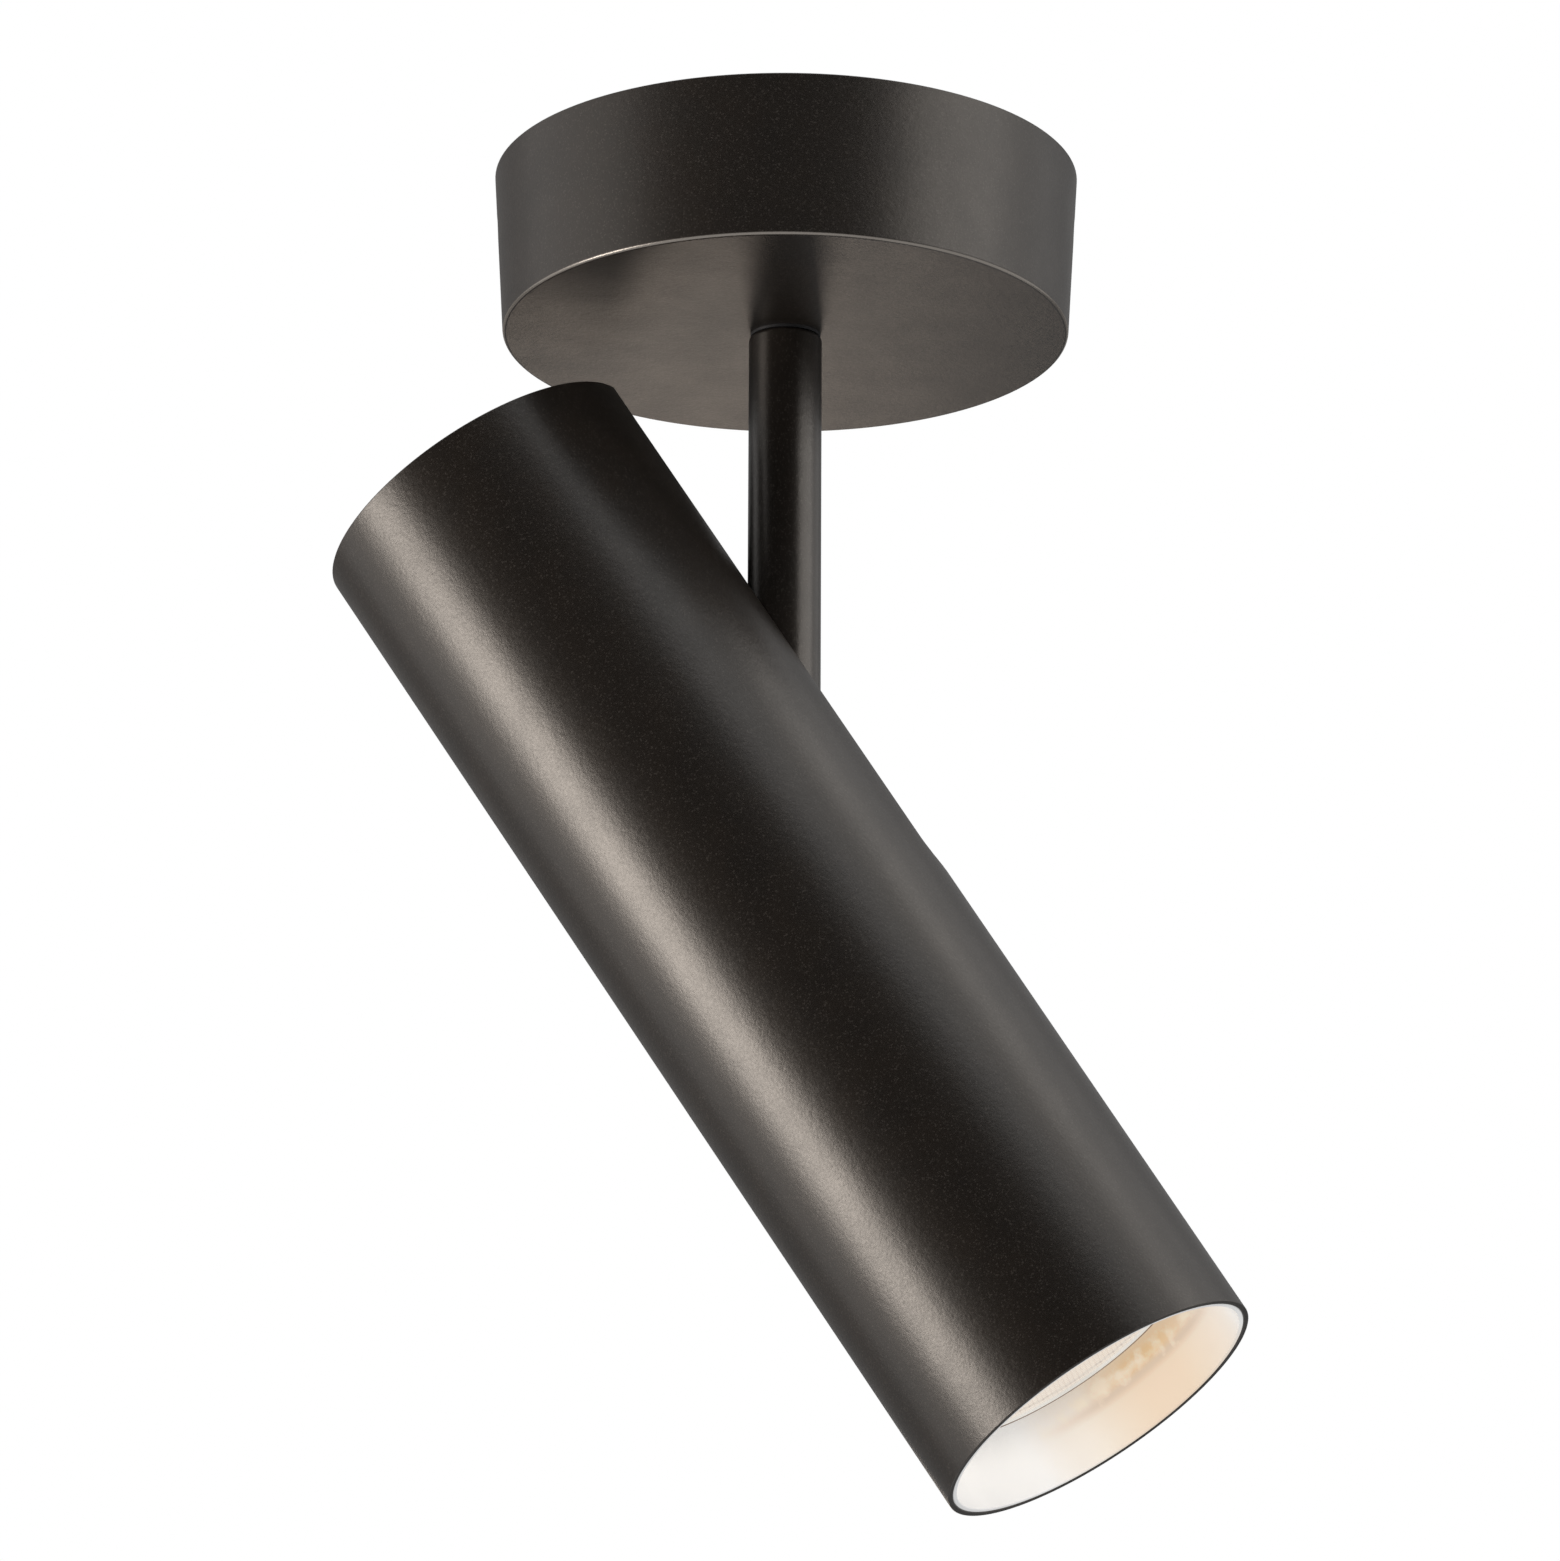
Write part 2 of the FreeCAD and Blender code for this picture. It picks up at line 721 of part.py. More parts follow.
def earth_screw():
    """Earth terminal of the strap."""
    piece = Piece("earth_screw", CEILING)
    piece.pad("-strap_thickness", "0", circle("earth_offset", "0", "earth_screw_radius"))
    piece.pad("-strap_thickness - earth_screw_head_height", "-strap_thickness", circle(
        "earth_offset", "0", "earth_screw_head_radius"))


def supply_leads():
    """Three leads from the connector strip to the top of the stem."""
    turn = FreeCAD.Rotation(value("swivel_angle"), 0, 0)
    end = value("-block_offset")
    bend = value("-block_offset + block_half_depth + lead_bend")
    level = value("lead_level")
    routes = []
    for place, way in zip(STEM_LEADS, (0, 1, -1)):
        foot = turn.multVec(point(*place, "stem_lead_top"))
        side = way * value("block_pitch")
        route = [foot, FreeCAD.Vector(foot.x, foot.y, level)]
        route.append(FreeCAD.Vector(bend, side, level))
        route.append(FreeCAD.Vector(end, side, level))
        routes.append(route)
    leads("supply_leads", routes, CEILING)


# --- stem -----------------------------------------------------------------------------------


def swivel_bush():
    """Flanged bush in the cup's floor, keyed to it, with the fixed stop on its flange."""
    piece = Piece("swivel_bush", CEILING)
    piece.turn(
        ("nipple_hole", "-canopy_height"),
        ("bush_radius", "-canopy_height"),
        ("bush_radius", "canopy_floor"),
        ("flange_radius", "canopy_floor"),
        ("flange_radius", "flange_top"),
        ("nipple_hole", "flange_top"))
    piece.pad("-canopy_height", "canopy_floor", rectangle(
        "-bush_key_half_width", "nipple_hole + bush_wall / 2",
        "bush_key_half_width", "bush_key_reach"))
    piece.pad("flange_top", "flange_top + stop_lug_height", rectangle(
        "-stop_radius", "-stop_lug_half_width",
        "-stop_washer_radius - stop_lug_gap", "stop_lug_half_width"))


def thrust_washer():
    """Thin slide washer between the cup's underside and the stem."""
    ring("thrust_washer", STEM, "nipple_radius + fit_clearance",
         "stem_radius - thrust_inset", "stem_top", "-canopy_height")


def stop_washer():
    """Washer keyed to the nipple, with the arm that meets the fixed stop."""
    piece = ring("stop_washer", STEM, "nipple_radius + fit_clearance",
                 "stop_washer_radius", "flange_top", "stop_washer_top")
    piece.pad("flange_top", "stop_washer_top", rectangle(
        short_of("stop_washer_radius"), "-stop_arm_half_width",
        "stop_radius", "stop_arm_half_width"))
    piece.pad("flange_top", "stop_washer_top", rectangle(
        "-key_half_width", "nipple_radius - key_depth + fit_clearance",
        "key_half_width", past("nipple_radius")))


def swivel_spring():
    """Coned disc spring that gives the swivel its friction."""
    piece = Piece("swivel_spring", STEM)
    rise = "spring_height - spring_thickness"
    piece.turn(
        ("nipple_radius + fit_clearance", "stop_washer_top + " + rise),
        ("spring_radius", "stop_washer_top"),
        ("spring_radius", "stop_washer_top + spring_thickness"),
        ("nipple_radius + fit_clearance", "spring_top"))


def swivel_nut():
    """Nut that holds the stem up to the cup."""
    piece = Piece("swivel_nut", STEM)
    piece.pad("spring_top", "swivel_nut_top", hexagon("swivel_nut_flats"),
              circle("0", "0", "nipple_radius + fit_clearance"))


def swivel_nipple():
    """Hollow threaded nipple from the stem up through the cup, with a keyway."""
    piece = ring("swivel_nipple", STEM, "nipple_bore", "nipple_radius",
                 "nipple_foot", "nipple_top")
    piece.pocket("flange_top", past("nipple_top"), rectangle(
        "-key_half_width - fit_clearance", "nipple_radius - key_depth",
        "key_half_width + fit_clearance", past("nipple_radius")))


def stem_tube():
    """Straight hollow stem."""
    piece = ring("stem_tube", STEM, "stem_bore", "stem_radius", "stem_foot", "stem_top")
    piece.fillet("stem_edge_radius", ring_edge("stem_radius", "stem_top"))


def stem_knuckle():
    """Eye at the stem's lower end, with a hollow plug in the stem."""
    piece = Piece("stem_knuckle", KNUCKLE)
    faces = ("-knuckle_half_thickness", "knuckle_half_thickness")
    piece.pad(*faces, circle("0", "0", "knuckle_radius"), plane="XZ_Plane")
    piece.pad(*faces, rectangle(
        "-knuckle_half_neck", "0", "knuckle_half_neck", "knuckle_reach + knuckle_overlap"),
        plane="XZ_Plane")
    piece.turn(
        ("plug_bore", "knuckle_reach"),
        ("stem_bore - fit_clearance", "knuckle_reach"),
        ("stem_bore - fit_clearance", "knuckle_reach + plug_length"),
        ("plug_bore", "knuckle_reach + plug_length"))
    piece.pocket(short_of(faces[0]), past(faces[1]), circle(
        "0", "0", "pivot_radius + running_clearance"), plane="XZ_Plane")


def stem_leads():
    """Three straight leads inside the stem."""
    piece = Piece("stem_leads", STEM)
    for place in STEM_LEADS:
        piece.pad("stem_foot", "stem_lead_top", circle(*place, "lead_radius"))


# --- head -----------------------------------------------------------------------------------


def lamp_tube():
    """Tube open at its mouth, with a slot from its upper end to the pivot."""
    piece = ring("lamp_tube", HEAD, "tube_bore", "tube_radius", "mouth_level", "tail_length")
    piece.chamfer("rim_break", *[
        ring_edge(radius, level)
        for radius in ("tube_bore", "tube_radius")
        for level in ("mouth_level", "tail_length")
    ])
    piece.pocket("0", past("tube_radius"), rectangle(
        "-slot_radius", "0", "slot_radius", past("tail_length")), plane="YZ_Plane")
    piece.pocket("0", past("tube_radius"), circle("0", "0", "slot_radius"), plane="YZ_Plane")
    piece.pocket(short_of("-tube_radius"), past("tube_radius"), circle(
        "0", "tube_screw_level", "tube_screw_radius + fit_clearance"), plane="YZ_Plane")


def top_cap():
    """Cap in the tube's upper end, slotted to its middle for the stem."""
    piece = Piece("top_cap", HEAD)
    piece.turn(
        ("0", "cap_top - cap_thickness"),
        ("seat_radius - cap_thickness", "cap_top - cap_thickness"),
        ("seat_radius - cap_thickness", "cap_foot"),
        ("seat_radius", "cap_foot"),
        ("seat_radius", "cap_top"),
        ("0", "cap_top"))
    through = (short_of("cap_foot"), past("cap_top"))
    piece.pocket(*through, rectangle("0", "-slot_radius", "tube_radius", "slot_radius"))
    piece.pocket(*through, circle("0", "0", "slot_radius"))


def inner_sleeve():
    """White liner from just inside the mouth up to the carrier's tabs."""
    ring("inner_sleeve", HEAD, "seat_radius - sleeve_wall", "seat_radius",
         "mouth_level + sleeve_inset", "tab_foot - running_clearance")


def carrier_plate():
    """Plate across the tube with two tabs bent down along its wall."""
    piece = Piece("carrier_plate", HEAD)
    piece.turn(
        ("0", "plate_foot"),
        ("seat_radius - plate_thickness", "plate_foot"),
        ("seat_radius - plate_thickness", "tab_foot"),
        ("seat_radius", "tab_foot"),
        ("seat_radius", "plate_top"),
        ("0", "plate_top"))
    side = piece.pocket(short_of("tab_foot"), "plate_foot", rectangle(
        "-tube_radius", "tab_half_width", "tube_radius", "tube_radius"))
    piece.repeat(PAIR, side)
    through = (short_of("plate_foot"), past("plate_top"))
    piece.pocket(*through, circle("0", "0", "fork_screw_radius + fit_clearance"))
    hole = piece.pocket(*through, circle(
        "pillar_offset", "0", "pillar_screw_radius + fit_clearance"))
    piece.repeat(PAIR, hole)
    piece.pocket(*through, circle("0", "grommet_offset", "grommet_radius + fit_clearance"))
    piece.pocket(*through, circle(
        "-tag_offset", "tag_side", "tag_screw_radius + fit_clearance"))
    piece.pocket("-tube_radius", "tube_radius", circle(
        "0", "tube_screw_level", "tube_screw_radius + fit_clearance"), plane="YZ_Plane")


def tube_screws():
    """Two flush set screws, from the tube into the carrier's tabs."""
    piece = Piece("tube_screws", HEAD)
    screw = piece.pad("tube_screw_end - tube_screw_length", "tube_screw_end", circle(
        "0", "tube_screw_level", "tube_screw_radius"), plane="YZ_Plane")
    key = piece.pocket("tube_screw_end - tube_screw_key_depth", past("tube_screw_end"), circle(
        "0", "tube_screw_level", "tube_screw_key / 2"), plane="YZ_Plane")
    piece.repeat(PAIR, screw, key)


def knuckle_fork():
    """Fork on the carrier plate, with a cheek at each side of the stem's eye."""
    piece = Piece("knuckle_fork", HEAD)
    width = ("-cheek_outside", "cheek_outside")
    piece.pad(*width, rectangle("-knuckle_radius", "plate_top", "knuckle_radius", "0"),
              plane="XZ_Plane")
    piece.pad(*width, circle("0", "0", "knuckle_radius"), plane="XZ_Plane")
    piece.pocket("-cheek_inside", "cheek_inside", rectangle(
        short_of("-knuckle_radius"), "fork_floor",
        past("knuckle_radius"), past("knuckle_radius")), plane="XZ_Plane")
    piece.pocket(short_of(width[0]), past(width[1]), circle(
        "0", "0", "pivot_radius + fit_clearance"), plane="XZ_Plane")
    piece.pocket(short_of("plate_top"), past("fork_floor"), circle(
        "0", "0", "fork_screw_radius + fit_clearance"))


def fork_screw():
    """Screw from below the carrier plate into the fork."""
    piece = Piece("fork_screw", HEAD)
    piece.pad("plate_foot", "fork_floor - fit_clearance", circle("0", "0", "fork_screw_radius"))
    piece.pad("plate_foot - fork_screw_head_height", "plate_foot", circle(
        "0", "0", "fork_screw_head_radius"))
    head_foot = "plate_foot - fork_screw_head_height"
    piece.pocket(short_of(head_foot), head_foot + " + fork_screw_key_depth",
                 hexagon("fork_screw_key"))


def pivot_bolt():
    """Tilt axle through the fork and the eye, its head on the -Y side."""
    piece = Piece("pivot_bolt", HEAD)
    piece.turn(
        ("-washer_outside - pivot_head_height", "0"),
        ("-washer_outside - pivot_head_height", "pivot_head_radius"),
        ("-washer_outside", "pivot_head_radius"),
        ("-washer_outside", "pivot_radius"),
        ("washer_outside + pivot_nut_height + pivot_tip", "pivot_radius"),
        ("washer_outside + pivot_nut_height + pivot_tip", "0"),
        plane="YZ_Plane", axis="H_Axis")
    head_end = "washer_outside + pivot_head_height"
    piece.pocket(head_end + " - pivot_key_depth", past(head_end),
                 hexagon("pivot_key"), plane="XZ_Plane")


def pivot_washers():
    """A washer outside each cheek."""
    piece = Piece("pivot_washers", HEAD)
    washer = piece.pad("cheek_outside", "washer_outside",
                       circle("0", "0", "pivot_washer_radius"),
                       circle("0", "0", "pivot_radius + fit_clearance"), plane="XZ_Plane")
    piece.repeat(PAIR, washer)


def pivot_nut():
    """Lock nut at the axle's +Y end."""
    piece = Piece("pivot_nut", HEAD)
    piece.pad("-washer_outside - pivot_nut_height", "-washer_outside",
              hexagon("pivot_nut_flats"),
              circle("0", "0", "pivot_radius + fit_clearance"), plane="XZ_Plane")


def lead_grommet():
    """Grommet in the carrier plate for the leads."""
    beside = " * placement(vector(0; grommet_offset; 0); rotation(0; 0; 0))"
    piece = Piece("lead_grommet", HEAD + beside)
    lip = "grommet_radius + grommet_lip"
    piece.turn(
        ("grommet_bore", "plate_foot - grommet_lip_height"),
        (lip, "plate_foot - grommet_lip_height"),
        (lip, "plate_foot"),
        ("grommet_radius", "plate_foot"),
        ("grommet_radius", "plate_top"),
        (lip, "plate_top"),
        (lip, "plate_top + grommet_lip_height"),
        ("grommet_bore", "plate_top + grommet_lip_height"))


def lamp_leads():
    """Leads through the grommet: two to the lampholder, one to the earth tag."""
    top = "plate_top + grommet_lip_height + lead_tail"
    first_turn = "plate_foot - grommet_lip_height - lead_tail"
    low_turn = "holder_top + lead_tail"
    foot = "holder_top - holder_lead_depth"
    near = "grommet_offset - lead_radius"
    far = "grommet_offset + lead_radius + lead_gap"
    side = "(lead_radius + lead_gap / 2)"
    to_near_bore = [
        point(side, near, top),
        point(side, near, first_turn + " - lead_stub"),
        point("0", "holder_lead_offset", low_turn),
        point("0", "holder_lead_offset", foot),
    ]
    to_far_bore = [
        point("-" + side, near, top),
        point("-" + side, near, first_turn),
        point("0", "-holder_lead_offset", low_turn),
        point("0", "-holder_lead_offset", foot),
    ]
    arm_end = "-tag_offset + tag_arm_length"
    under_tag = "plate_foot - tag_thickness - lead_radius - fit_clearance"
    to_tag = [
        point("0", far, top),
        point("0", far, first_turn),
        point(arm_end + " + lead_bend", "tag_side", under_tag),
        point(arm_end + " - tag_grip", "tag_side", under_tag),
    ]
    leads("lamp_leads", [to_near_bore, to_far_bore, to_tag], HEAD)


def earth_tag():
    """Ring tag of the head's earth lead, under the carrier plate."""
    piece = Piece("earth_tag", HEAD)
    low = "plate_foot - tag_thickness"
    piece.pad(low, "plate_foot", circle("-tag_offset", "tag_side", "tag_radius"))
    piece.pad(low, "plate_foot", rectangle(
        "-tag_offset", "tag_side - tag_arm_half_width",
        "-tag_offset + tag_arm_length", "tag_side + tag_arm_half_width"))
    piece.pocket(short_of(low), past("plate_foot"), circle(
        "-tag_offset", "tag_side", "tag_screw_radius + fit_clearance"))


def head_earth_screw():
    """Screw of the head's earth tag."""
    piece = Piece("head_earth_screw", HEAD)
    seat = "plate_foot - tag_thickness"
    piece.pad(seat, "plate_top", circle("-tag_offset", "tag_side", "tag_screw_radius"))
    piece.pad(seat + " - tag_screw_head_height", seat, circle(
        "-tag_offset", "tag_side", "tag_screw_head_radius"))


def holder_pillars():
    """Two tapped spacers between the carrier plate and the lampholder."""
    piece = Piece("holder_pillars", HEAD)
    pillar = piece.pad("holder_top", "plate_foot",
                       circle("pillar_offset", "0", "pillar_radius"),
                       circle("pillar_offset", "0", "pillar_screw_radius + fit_clearance"))
    piece.repeat(PAIR, pillar)


def pillar_screws():
    """Two screws from above the carrier plate into the spacers."""
    piece = Piece("pillar_screws", HEAD)
    shank = piece.pad("plate_foot - pillar_screw_grip", "plate_top", circle(
        "pillar_offset", "0", "pillar_screw_radius"))
    head = piece.pad("plate_top", "plate_top + pillar_screw_head_height", circle(
        "pillar_offset", "0", "pillar_screw_head_radius"))
    piece.repeat(PAIR, shank, head)


def holder_screws():
    """Two screws from the lampholder's face into the spacers."""
    piece = Piece("holder_screws", HEAD)
    shank = piece.pad("holder_screw_seat", "holder_top + holder_screw_grip", circle(
        "pillar_offset", "0", "pillar_screw_radius"))
    head = piece.pad("holder_screw_seat - pillar_screw_head_height", "holder_screw_seat", circle(
        "pillar_offset", "0", "pillar_screw_head_radius"))
    piece.repeat(PAIR, shank, head)


def lampholder_body():
    """Back half of the lampholder, with a pocket for each pin's head and turn."""
    piece = Piece("lampholder_body", HEAD)
    piece.pad("holder_split", "holder_top", circle("0", "0", "holder_radius"))
    reach = "lock_angle + asin(pocket_radius / pin_circle) / 1deg"
    pocket = piece.groove(
        ("pin_circle - pocket_radius", "holder_split"),
        ("pin_circle + pocket_radius", "holder_split"),
        ("pin_circle + pocket_radius", "pocket_top"),
        ("pin_circle - pocket_radius", "pocket_top"),
        angle="2 * (%s)" % reach)
    piece.repeat(PAIR, pocket)
    hole = piece.pocket(short_of("holder_split"), past("holder_top"), circle(
        "pillar_offset", "0", "pillar_screw_radius + fit_clearance"))
    lead_hole = piece.pocket("holder_top - holder_lead_depth", past("holder_top"), circle(
        "0", "holder_lead_offset", "lead_radius + fit_clearance"))
    piece.repeat(PAIR, hole, lead_hole)


def lampholder_face():
    """Front of the lampholder: a keyhole for each pin, wide where the pin goes in."""
    piece = Piece("lampholder_face", HEAD)
    piece.pad("holder_foot", "holder_split", circle("0", "0", "holder_radius"))
    through = (short_of("holder_foot"), past("holder_split"))
    neck = "(pin_neck_radius + pin_play)"
    run = piece.groove(
        ("pin_circle - " + neck, "holder_foot"),
        ("pin_circle + " + neck, "holder_foot"),
        ("pin_circle + " + neck, "holder_split"),
        ("pin_circle - " + neck, "holder_split"),
        angle="lock_angle", symmetric=False, reverse=True)
    locked = piece.pocket(*through, circle("0", "pin_circle", neck))
    entry = piece.pocket(*through, circle(
        "pin_circle * sin(lock_angle)", "pin_circle * cos(lock_angle)",
        "pin_head_radius + pin_play"))
    piece.repeat(PAIR, run, locked, entry)
    hole = piece.pocket(*through, circle(
        "pillar_offset", "0", "pillar_screw_radius + fit_clearance"))
    sunk = piece.pocket(short_of("holder_foot"), "holder_screw_seat", circle(
        "pillar_offset", "0", "pillar_screw_head_radius + fit_clearance"))
    piece.repeat(PAIR, hole, sunk)


def holder_contacts():
    """Two contacts at the top of the lampholder's pockets."""
    piece = Piece("holder_contacts", HEAD)
    contact = piece.turn(
        ("pin_circle - contact_half_width", "pocket_top - contact_thickness"),
        ("pin_circle + contact_half_width", "pocket_top - contact_thickness"),
        ("pin_circle + contact_half_width", "pocket_top"),
        ("pin_circle - contact_half_width", "pocket_top"),
        plane="YZ_Plane", angle="contact_angle")
    piece.repeat(PAIR, contact)


# --- lamp -----------------------------------------------------------------------------------


def lamp_shell():
    """Reflector lamp's shell: a ring at its face, narrowing to its neck."""
    piece = Piece("lamp_shell", HEAD)
    piece.turn(
        ("lens_radius + fit_clearance", "lamp_face"),
        ("lamp_radius", "lamp_face"),
        ("lamp_radius", "lamp_face + lamp_ring_height"),
        ("lamp_neck_radius", "lamp_cap_foot - lamp_neck_height"),
        ("lamp_neck_radius", "lamp_cap_foot"),
        ("lamp_spigot_radius + fit_clearance", "lamp_cap_foot"),
        ("lamp_spigot_radius + fit_clearance", "lamp_cap_foot - lamp_neck_height"),
        ("board_seat_radius - board_ledge", "board_top"),
        ("board_seat_radius + fit_clearance", "board_top"),
        ("board_seat_radius + fit_clearance", "lens_top"),
        ("lens_radius + fit_clearance", "lens_top"))


def lamp_lens():
    """Front lens, seated on the shell's ledge."""
    piece = Piece("lamp_lens", HEAD)
    piece.pad("lens_foot", "lens_top", circle("0", "0", "lens_radius"))


def lamp_board():
    """Round board behind the lens, against the shell's inner ledge."""
    piece = Piece("lamp_board", HEAD)
    piece.pad("board_foot", "board_top", circle("0", "0", "board_seat_radius"))


def lamp_emitters():
    """Light sources on the board: one in the middle and a circle round it."""
    piece = Piece("lamp_emitters", HEAD)
    low = "board_foot - emitter_height"

    def square(centre):
        return rectangle(centre + " - emitter_half_width", "-emitter_half_width",
                         centre + " + emitter_half_width", "emitter_half_width")

    outer = piece.pad(low, "board_foot", square("emitter_circle"))
    piece.repeat(EMITTERS_ON_CIRCLE, outer)
    piece.pad(low, "board_foot", square("0"))


def lamp_cap():
    """Plug end of the lamp, with a spigot in the shell's neck."""
    piece = Piece("lamp_cap", HEAD)
    piece.turn(
        ("0", "lamp_cap_foot - lamp_spigot_length"),
        ("lamp_spigot_radius", "lamp_cap_foot - lamp_spigot_length"),
        ("lamp_spigot_radius", "lamp_cap_foot"),
        ("lamp_cap_radius", "lamp_cap_foot"),
        ("lamp_cap_radius", "lamp_seat"),
        ("0", "lamp_seat"))
    hole = piece.pocket("lamp_seat - pin_root", past("lamp_seat"), circle(
        "0", "pin_circle", "pin_neck_radius + fit_clearance"))
    piece.repeat(PAIR, hole)


def lamp_pins():
    """The lamp's two headed pins."""
    piece = Piece("lamp_pins", HEAD)
    neck = piece.pad("lamp_seat - pin_root", "pin_step", circle(
        "0", "pin_circle", "pin_neck_radius"))
    head = piece.pad("pin_step", "pin_step + pin_head_height", circle(
        "0", "pin_circle", "pin_head_radius"))
    piece.repeat(PAIR, neck, head)


def check_document():
    """Stop if an object failed, or a sub-part has no sound shape."""
    document.recompute()
    for item in document.Objects:
        if "Invalid" in item.State or "Error" in item.State:
            raise RuntimeError("%s is %s" % (item.Label, item.State))
    for node in nodes:
        shape = node.Shape
        if shape.isNull() or not shape.isValid() or not shape.Solids:
            raise RuntimeError("%s has no sound shape" % node.Label)


def export_nodes():
    """Write each sub-part to its own file."""
    os.makedirs("parts", exist_ok=True)
    for node in nodes:
        node.Shape.exportStep(os.path.join("parts", node.Label + ".step"))
        print("%-18s %2d solids %10.1f mm3" % (
            node.Label, len(node.Shape.Solids), node.Shape.Volume))


fill_sheet()
for build in (
    ceiling_bracket, canopy_cup, canopy_screws, terminal_block, terminal_screws, block_screw,
    earth_screw, supply_leads, swivel_bush,
    thrust_washer, stop_washer, swivel_spring, swivel_nut, swivel_nipple, stem_tube,
    stem_knuckle, stem_leads,
    lamp_tube, top_cap, inner_sleeve, carrier_plate, tube_screws, knuckle_fork, fork_screw,
    pivot_bolt, pivot_washers, pivot_nut, lead_grommet, lamp_leads, earth_tag,
    head_earth_screw, holder_pillars, pillar_screws, holder_screws, lampholder_body,
    lampholder_face, holder_contacts,
    lamp_shell, lamp_lens, lamp_board, lamp_emitters, lamp_cap, lamp_pins,
):
    build()
check_document()
export_nodes()
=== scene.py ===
"""Looks of a surface mounted ceiling spotlight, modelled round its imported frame.

The cup, the stem, the slotted tube, the fittings inside them and the lamp are each a class that
builds its meshes and dresses them. Sizes come from the frame's nodes, and what the frame leaves
plain, such as threads, recesses and rounded edges, comes from the fields of each class.
"""
import json
import logging
import math
from contextlib import contextmanager
from dataclasses import dataclass
from enum import Enum
from typing import Iterable, Iterator, Optional, Sequence

import bpy
from mathutils import Matrix, Vector


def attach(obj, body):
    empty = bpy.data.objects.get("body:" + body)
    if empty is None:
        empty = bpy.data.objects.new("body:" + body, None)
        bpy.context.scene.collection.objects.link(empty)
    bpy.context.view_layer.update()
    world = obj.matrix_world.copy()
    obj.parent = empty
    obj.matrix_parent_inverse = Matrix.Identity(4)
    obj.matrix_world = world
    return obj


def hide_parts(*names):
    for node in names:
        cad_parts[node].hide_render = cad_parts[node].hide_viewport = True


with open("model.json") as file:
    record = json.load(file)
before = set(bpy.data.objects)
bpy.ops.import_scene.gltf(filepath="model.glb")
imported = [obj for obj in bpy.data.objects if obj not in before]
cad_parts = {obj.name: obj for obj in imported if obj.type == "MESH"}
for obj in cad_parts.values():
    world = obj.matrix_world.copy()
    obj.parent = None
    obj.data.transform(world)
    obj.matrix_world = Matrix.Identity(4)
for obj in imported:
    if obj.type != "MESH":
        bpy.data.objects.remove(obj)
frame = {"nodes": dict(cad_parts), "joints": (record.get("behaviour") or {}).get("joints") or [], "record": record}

logging.basicConfig(level=logging.INFO, format="%(message)s")
log = logging.getLogger("spotlight")

MM = 0.001
HAIR = 1e-7  # metres between points that are one
SLIVER = 1e-6  # the same after a boolean or a conversion, which are less exact
M3_HOLE, M4_HOLE, M5_HOLE = 1.53 * MM, 2.03 * MM, 2.53 * MM  # radii
LEAD_RADIUS = 0.7 * MM
LEAD_OFFSETS = {"earth": (0.0, -2.85), "brown": (0.75, 2.85), "blue": (-0.75, 2.85)}  # in the stem
BOTH_SIDES = (1, -1)
BLACK, WHITE = (0.0, 0.0, 0.0, 1.0), (1.0, 1.0, 1.0, 1.0)

Spot = tuple[float, float]
Profile = Sequence[Spot]
Piece = bpy.types.Object
Socket = bpy.types.NodeSocket
Colour = tuple[float, float, float]


# --- places ---------------------------------------------------------------------------------


@dataclass(frozen=True)
class Seat:
    """A sub-assembly's own axes in the frame."""

    origin: Vector
    turn: Matrix

    @property
    def placed(self) -> Matrix:
        """The seat as a matrix from its own axes to the frame."""
        return Matrix.Translation(self.origin) @ self.turn.to_4x4()

    def beside(self, x: float, y: float, z: float) -> "Seat":
        """A seat with the same axes, moved along them."""
        return Seat(self.placed @ Vector((x, y, z)), self.turn)

    def tipped(self, to: "Axis") -> "Seat":
        """A seat at the same place whose Z axis lies along another of its axes."""
        return Seat(self.origin, self.turn @ to.value)

    def spun(self, degrees: float) -> "Seat":
        """A seat at the same place, turned about its Z axis."""
        return Seat(self.origin, self.turn @ Matrix.Rotation(math.radians(degrees), 3, "Z"))


class Axis(Enum):
    """Turns that lay a seat's Z axis along another axis."""

    PLUS_X = Matrix.Rotation(math.radians(90), 3, "Y")
    MINUS_X = Matrix.Rotation(math.radians(-90), 3, "Y")
    PLUS_Y = Matrix.Rotation(math.radians(-90), 3, "X")
    MINUS_Y = Matrix.Rotation(math.radians(90), 3, "X")
    MINUS_Z = Matrix.Rotation(math.radians(180), 3, "X")


def joint(name: str) -> dict:
    """One of the frame's joints, by its name."""
    return next(item for item in frame["joints"] if item["name"] == name)


def seat_of(origin: Vector, up: Vector) -> Seat:
    """Make axes with a given Z, whose Y is the tilt axle's direction.

    Args:
        origin: where the seat stands.
        up: its Z direction, of length 1.

    Returns:
        The seat.
    """
    side = -Vector(joint("tilt")["axis"]).normalized()
    front = side.cross(up)
    return Seat(origin, Matrix((front, side, up)).transposed())


ORIGIN = Seat(Vector((0, 0, 0)), Matrix.Identity(3))
STEM = seat_of(Vector((0, 0, 0)), Vector((0, 0, 1)))
KNUCKLE = seat_of(Vector(joint("tilt")["pos_m"]), Vector((0, 0, 1)))
HEAD = seat_of(Vector(joint("tilt")["pos_m"]), -Vector(joint("lamp_twist")["axis"]).normalized())


@dataclass(frozen=True)
class Extent:
    """How far a node reaches, measured in a seat's own axes."""

    low: Vector
    high: Vector
    radius: float


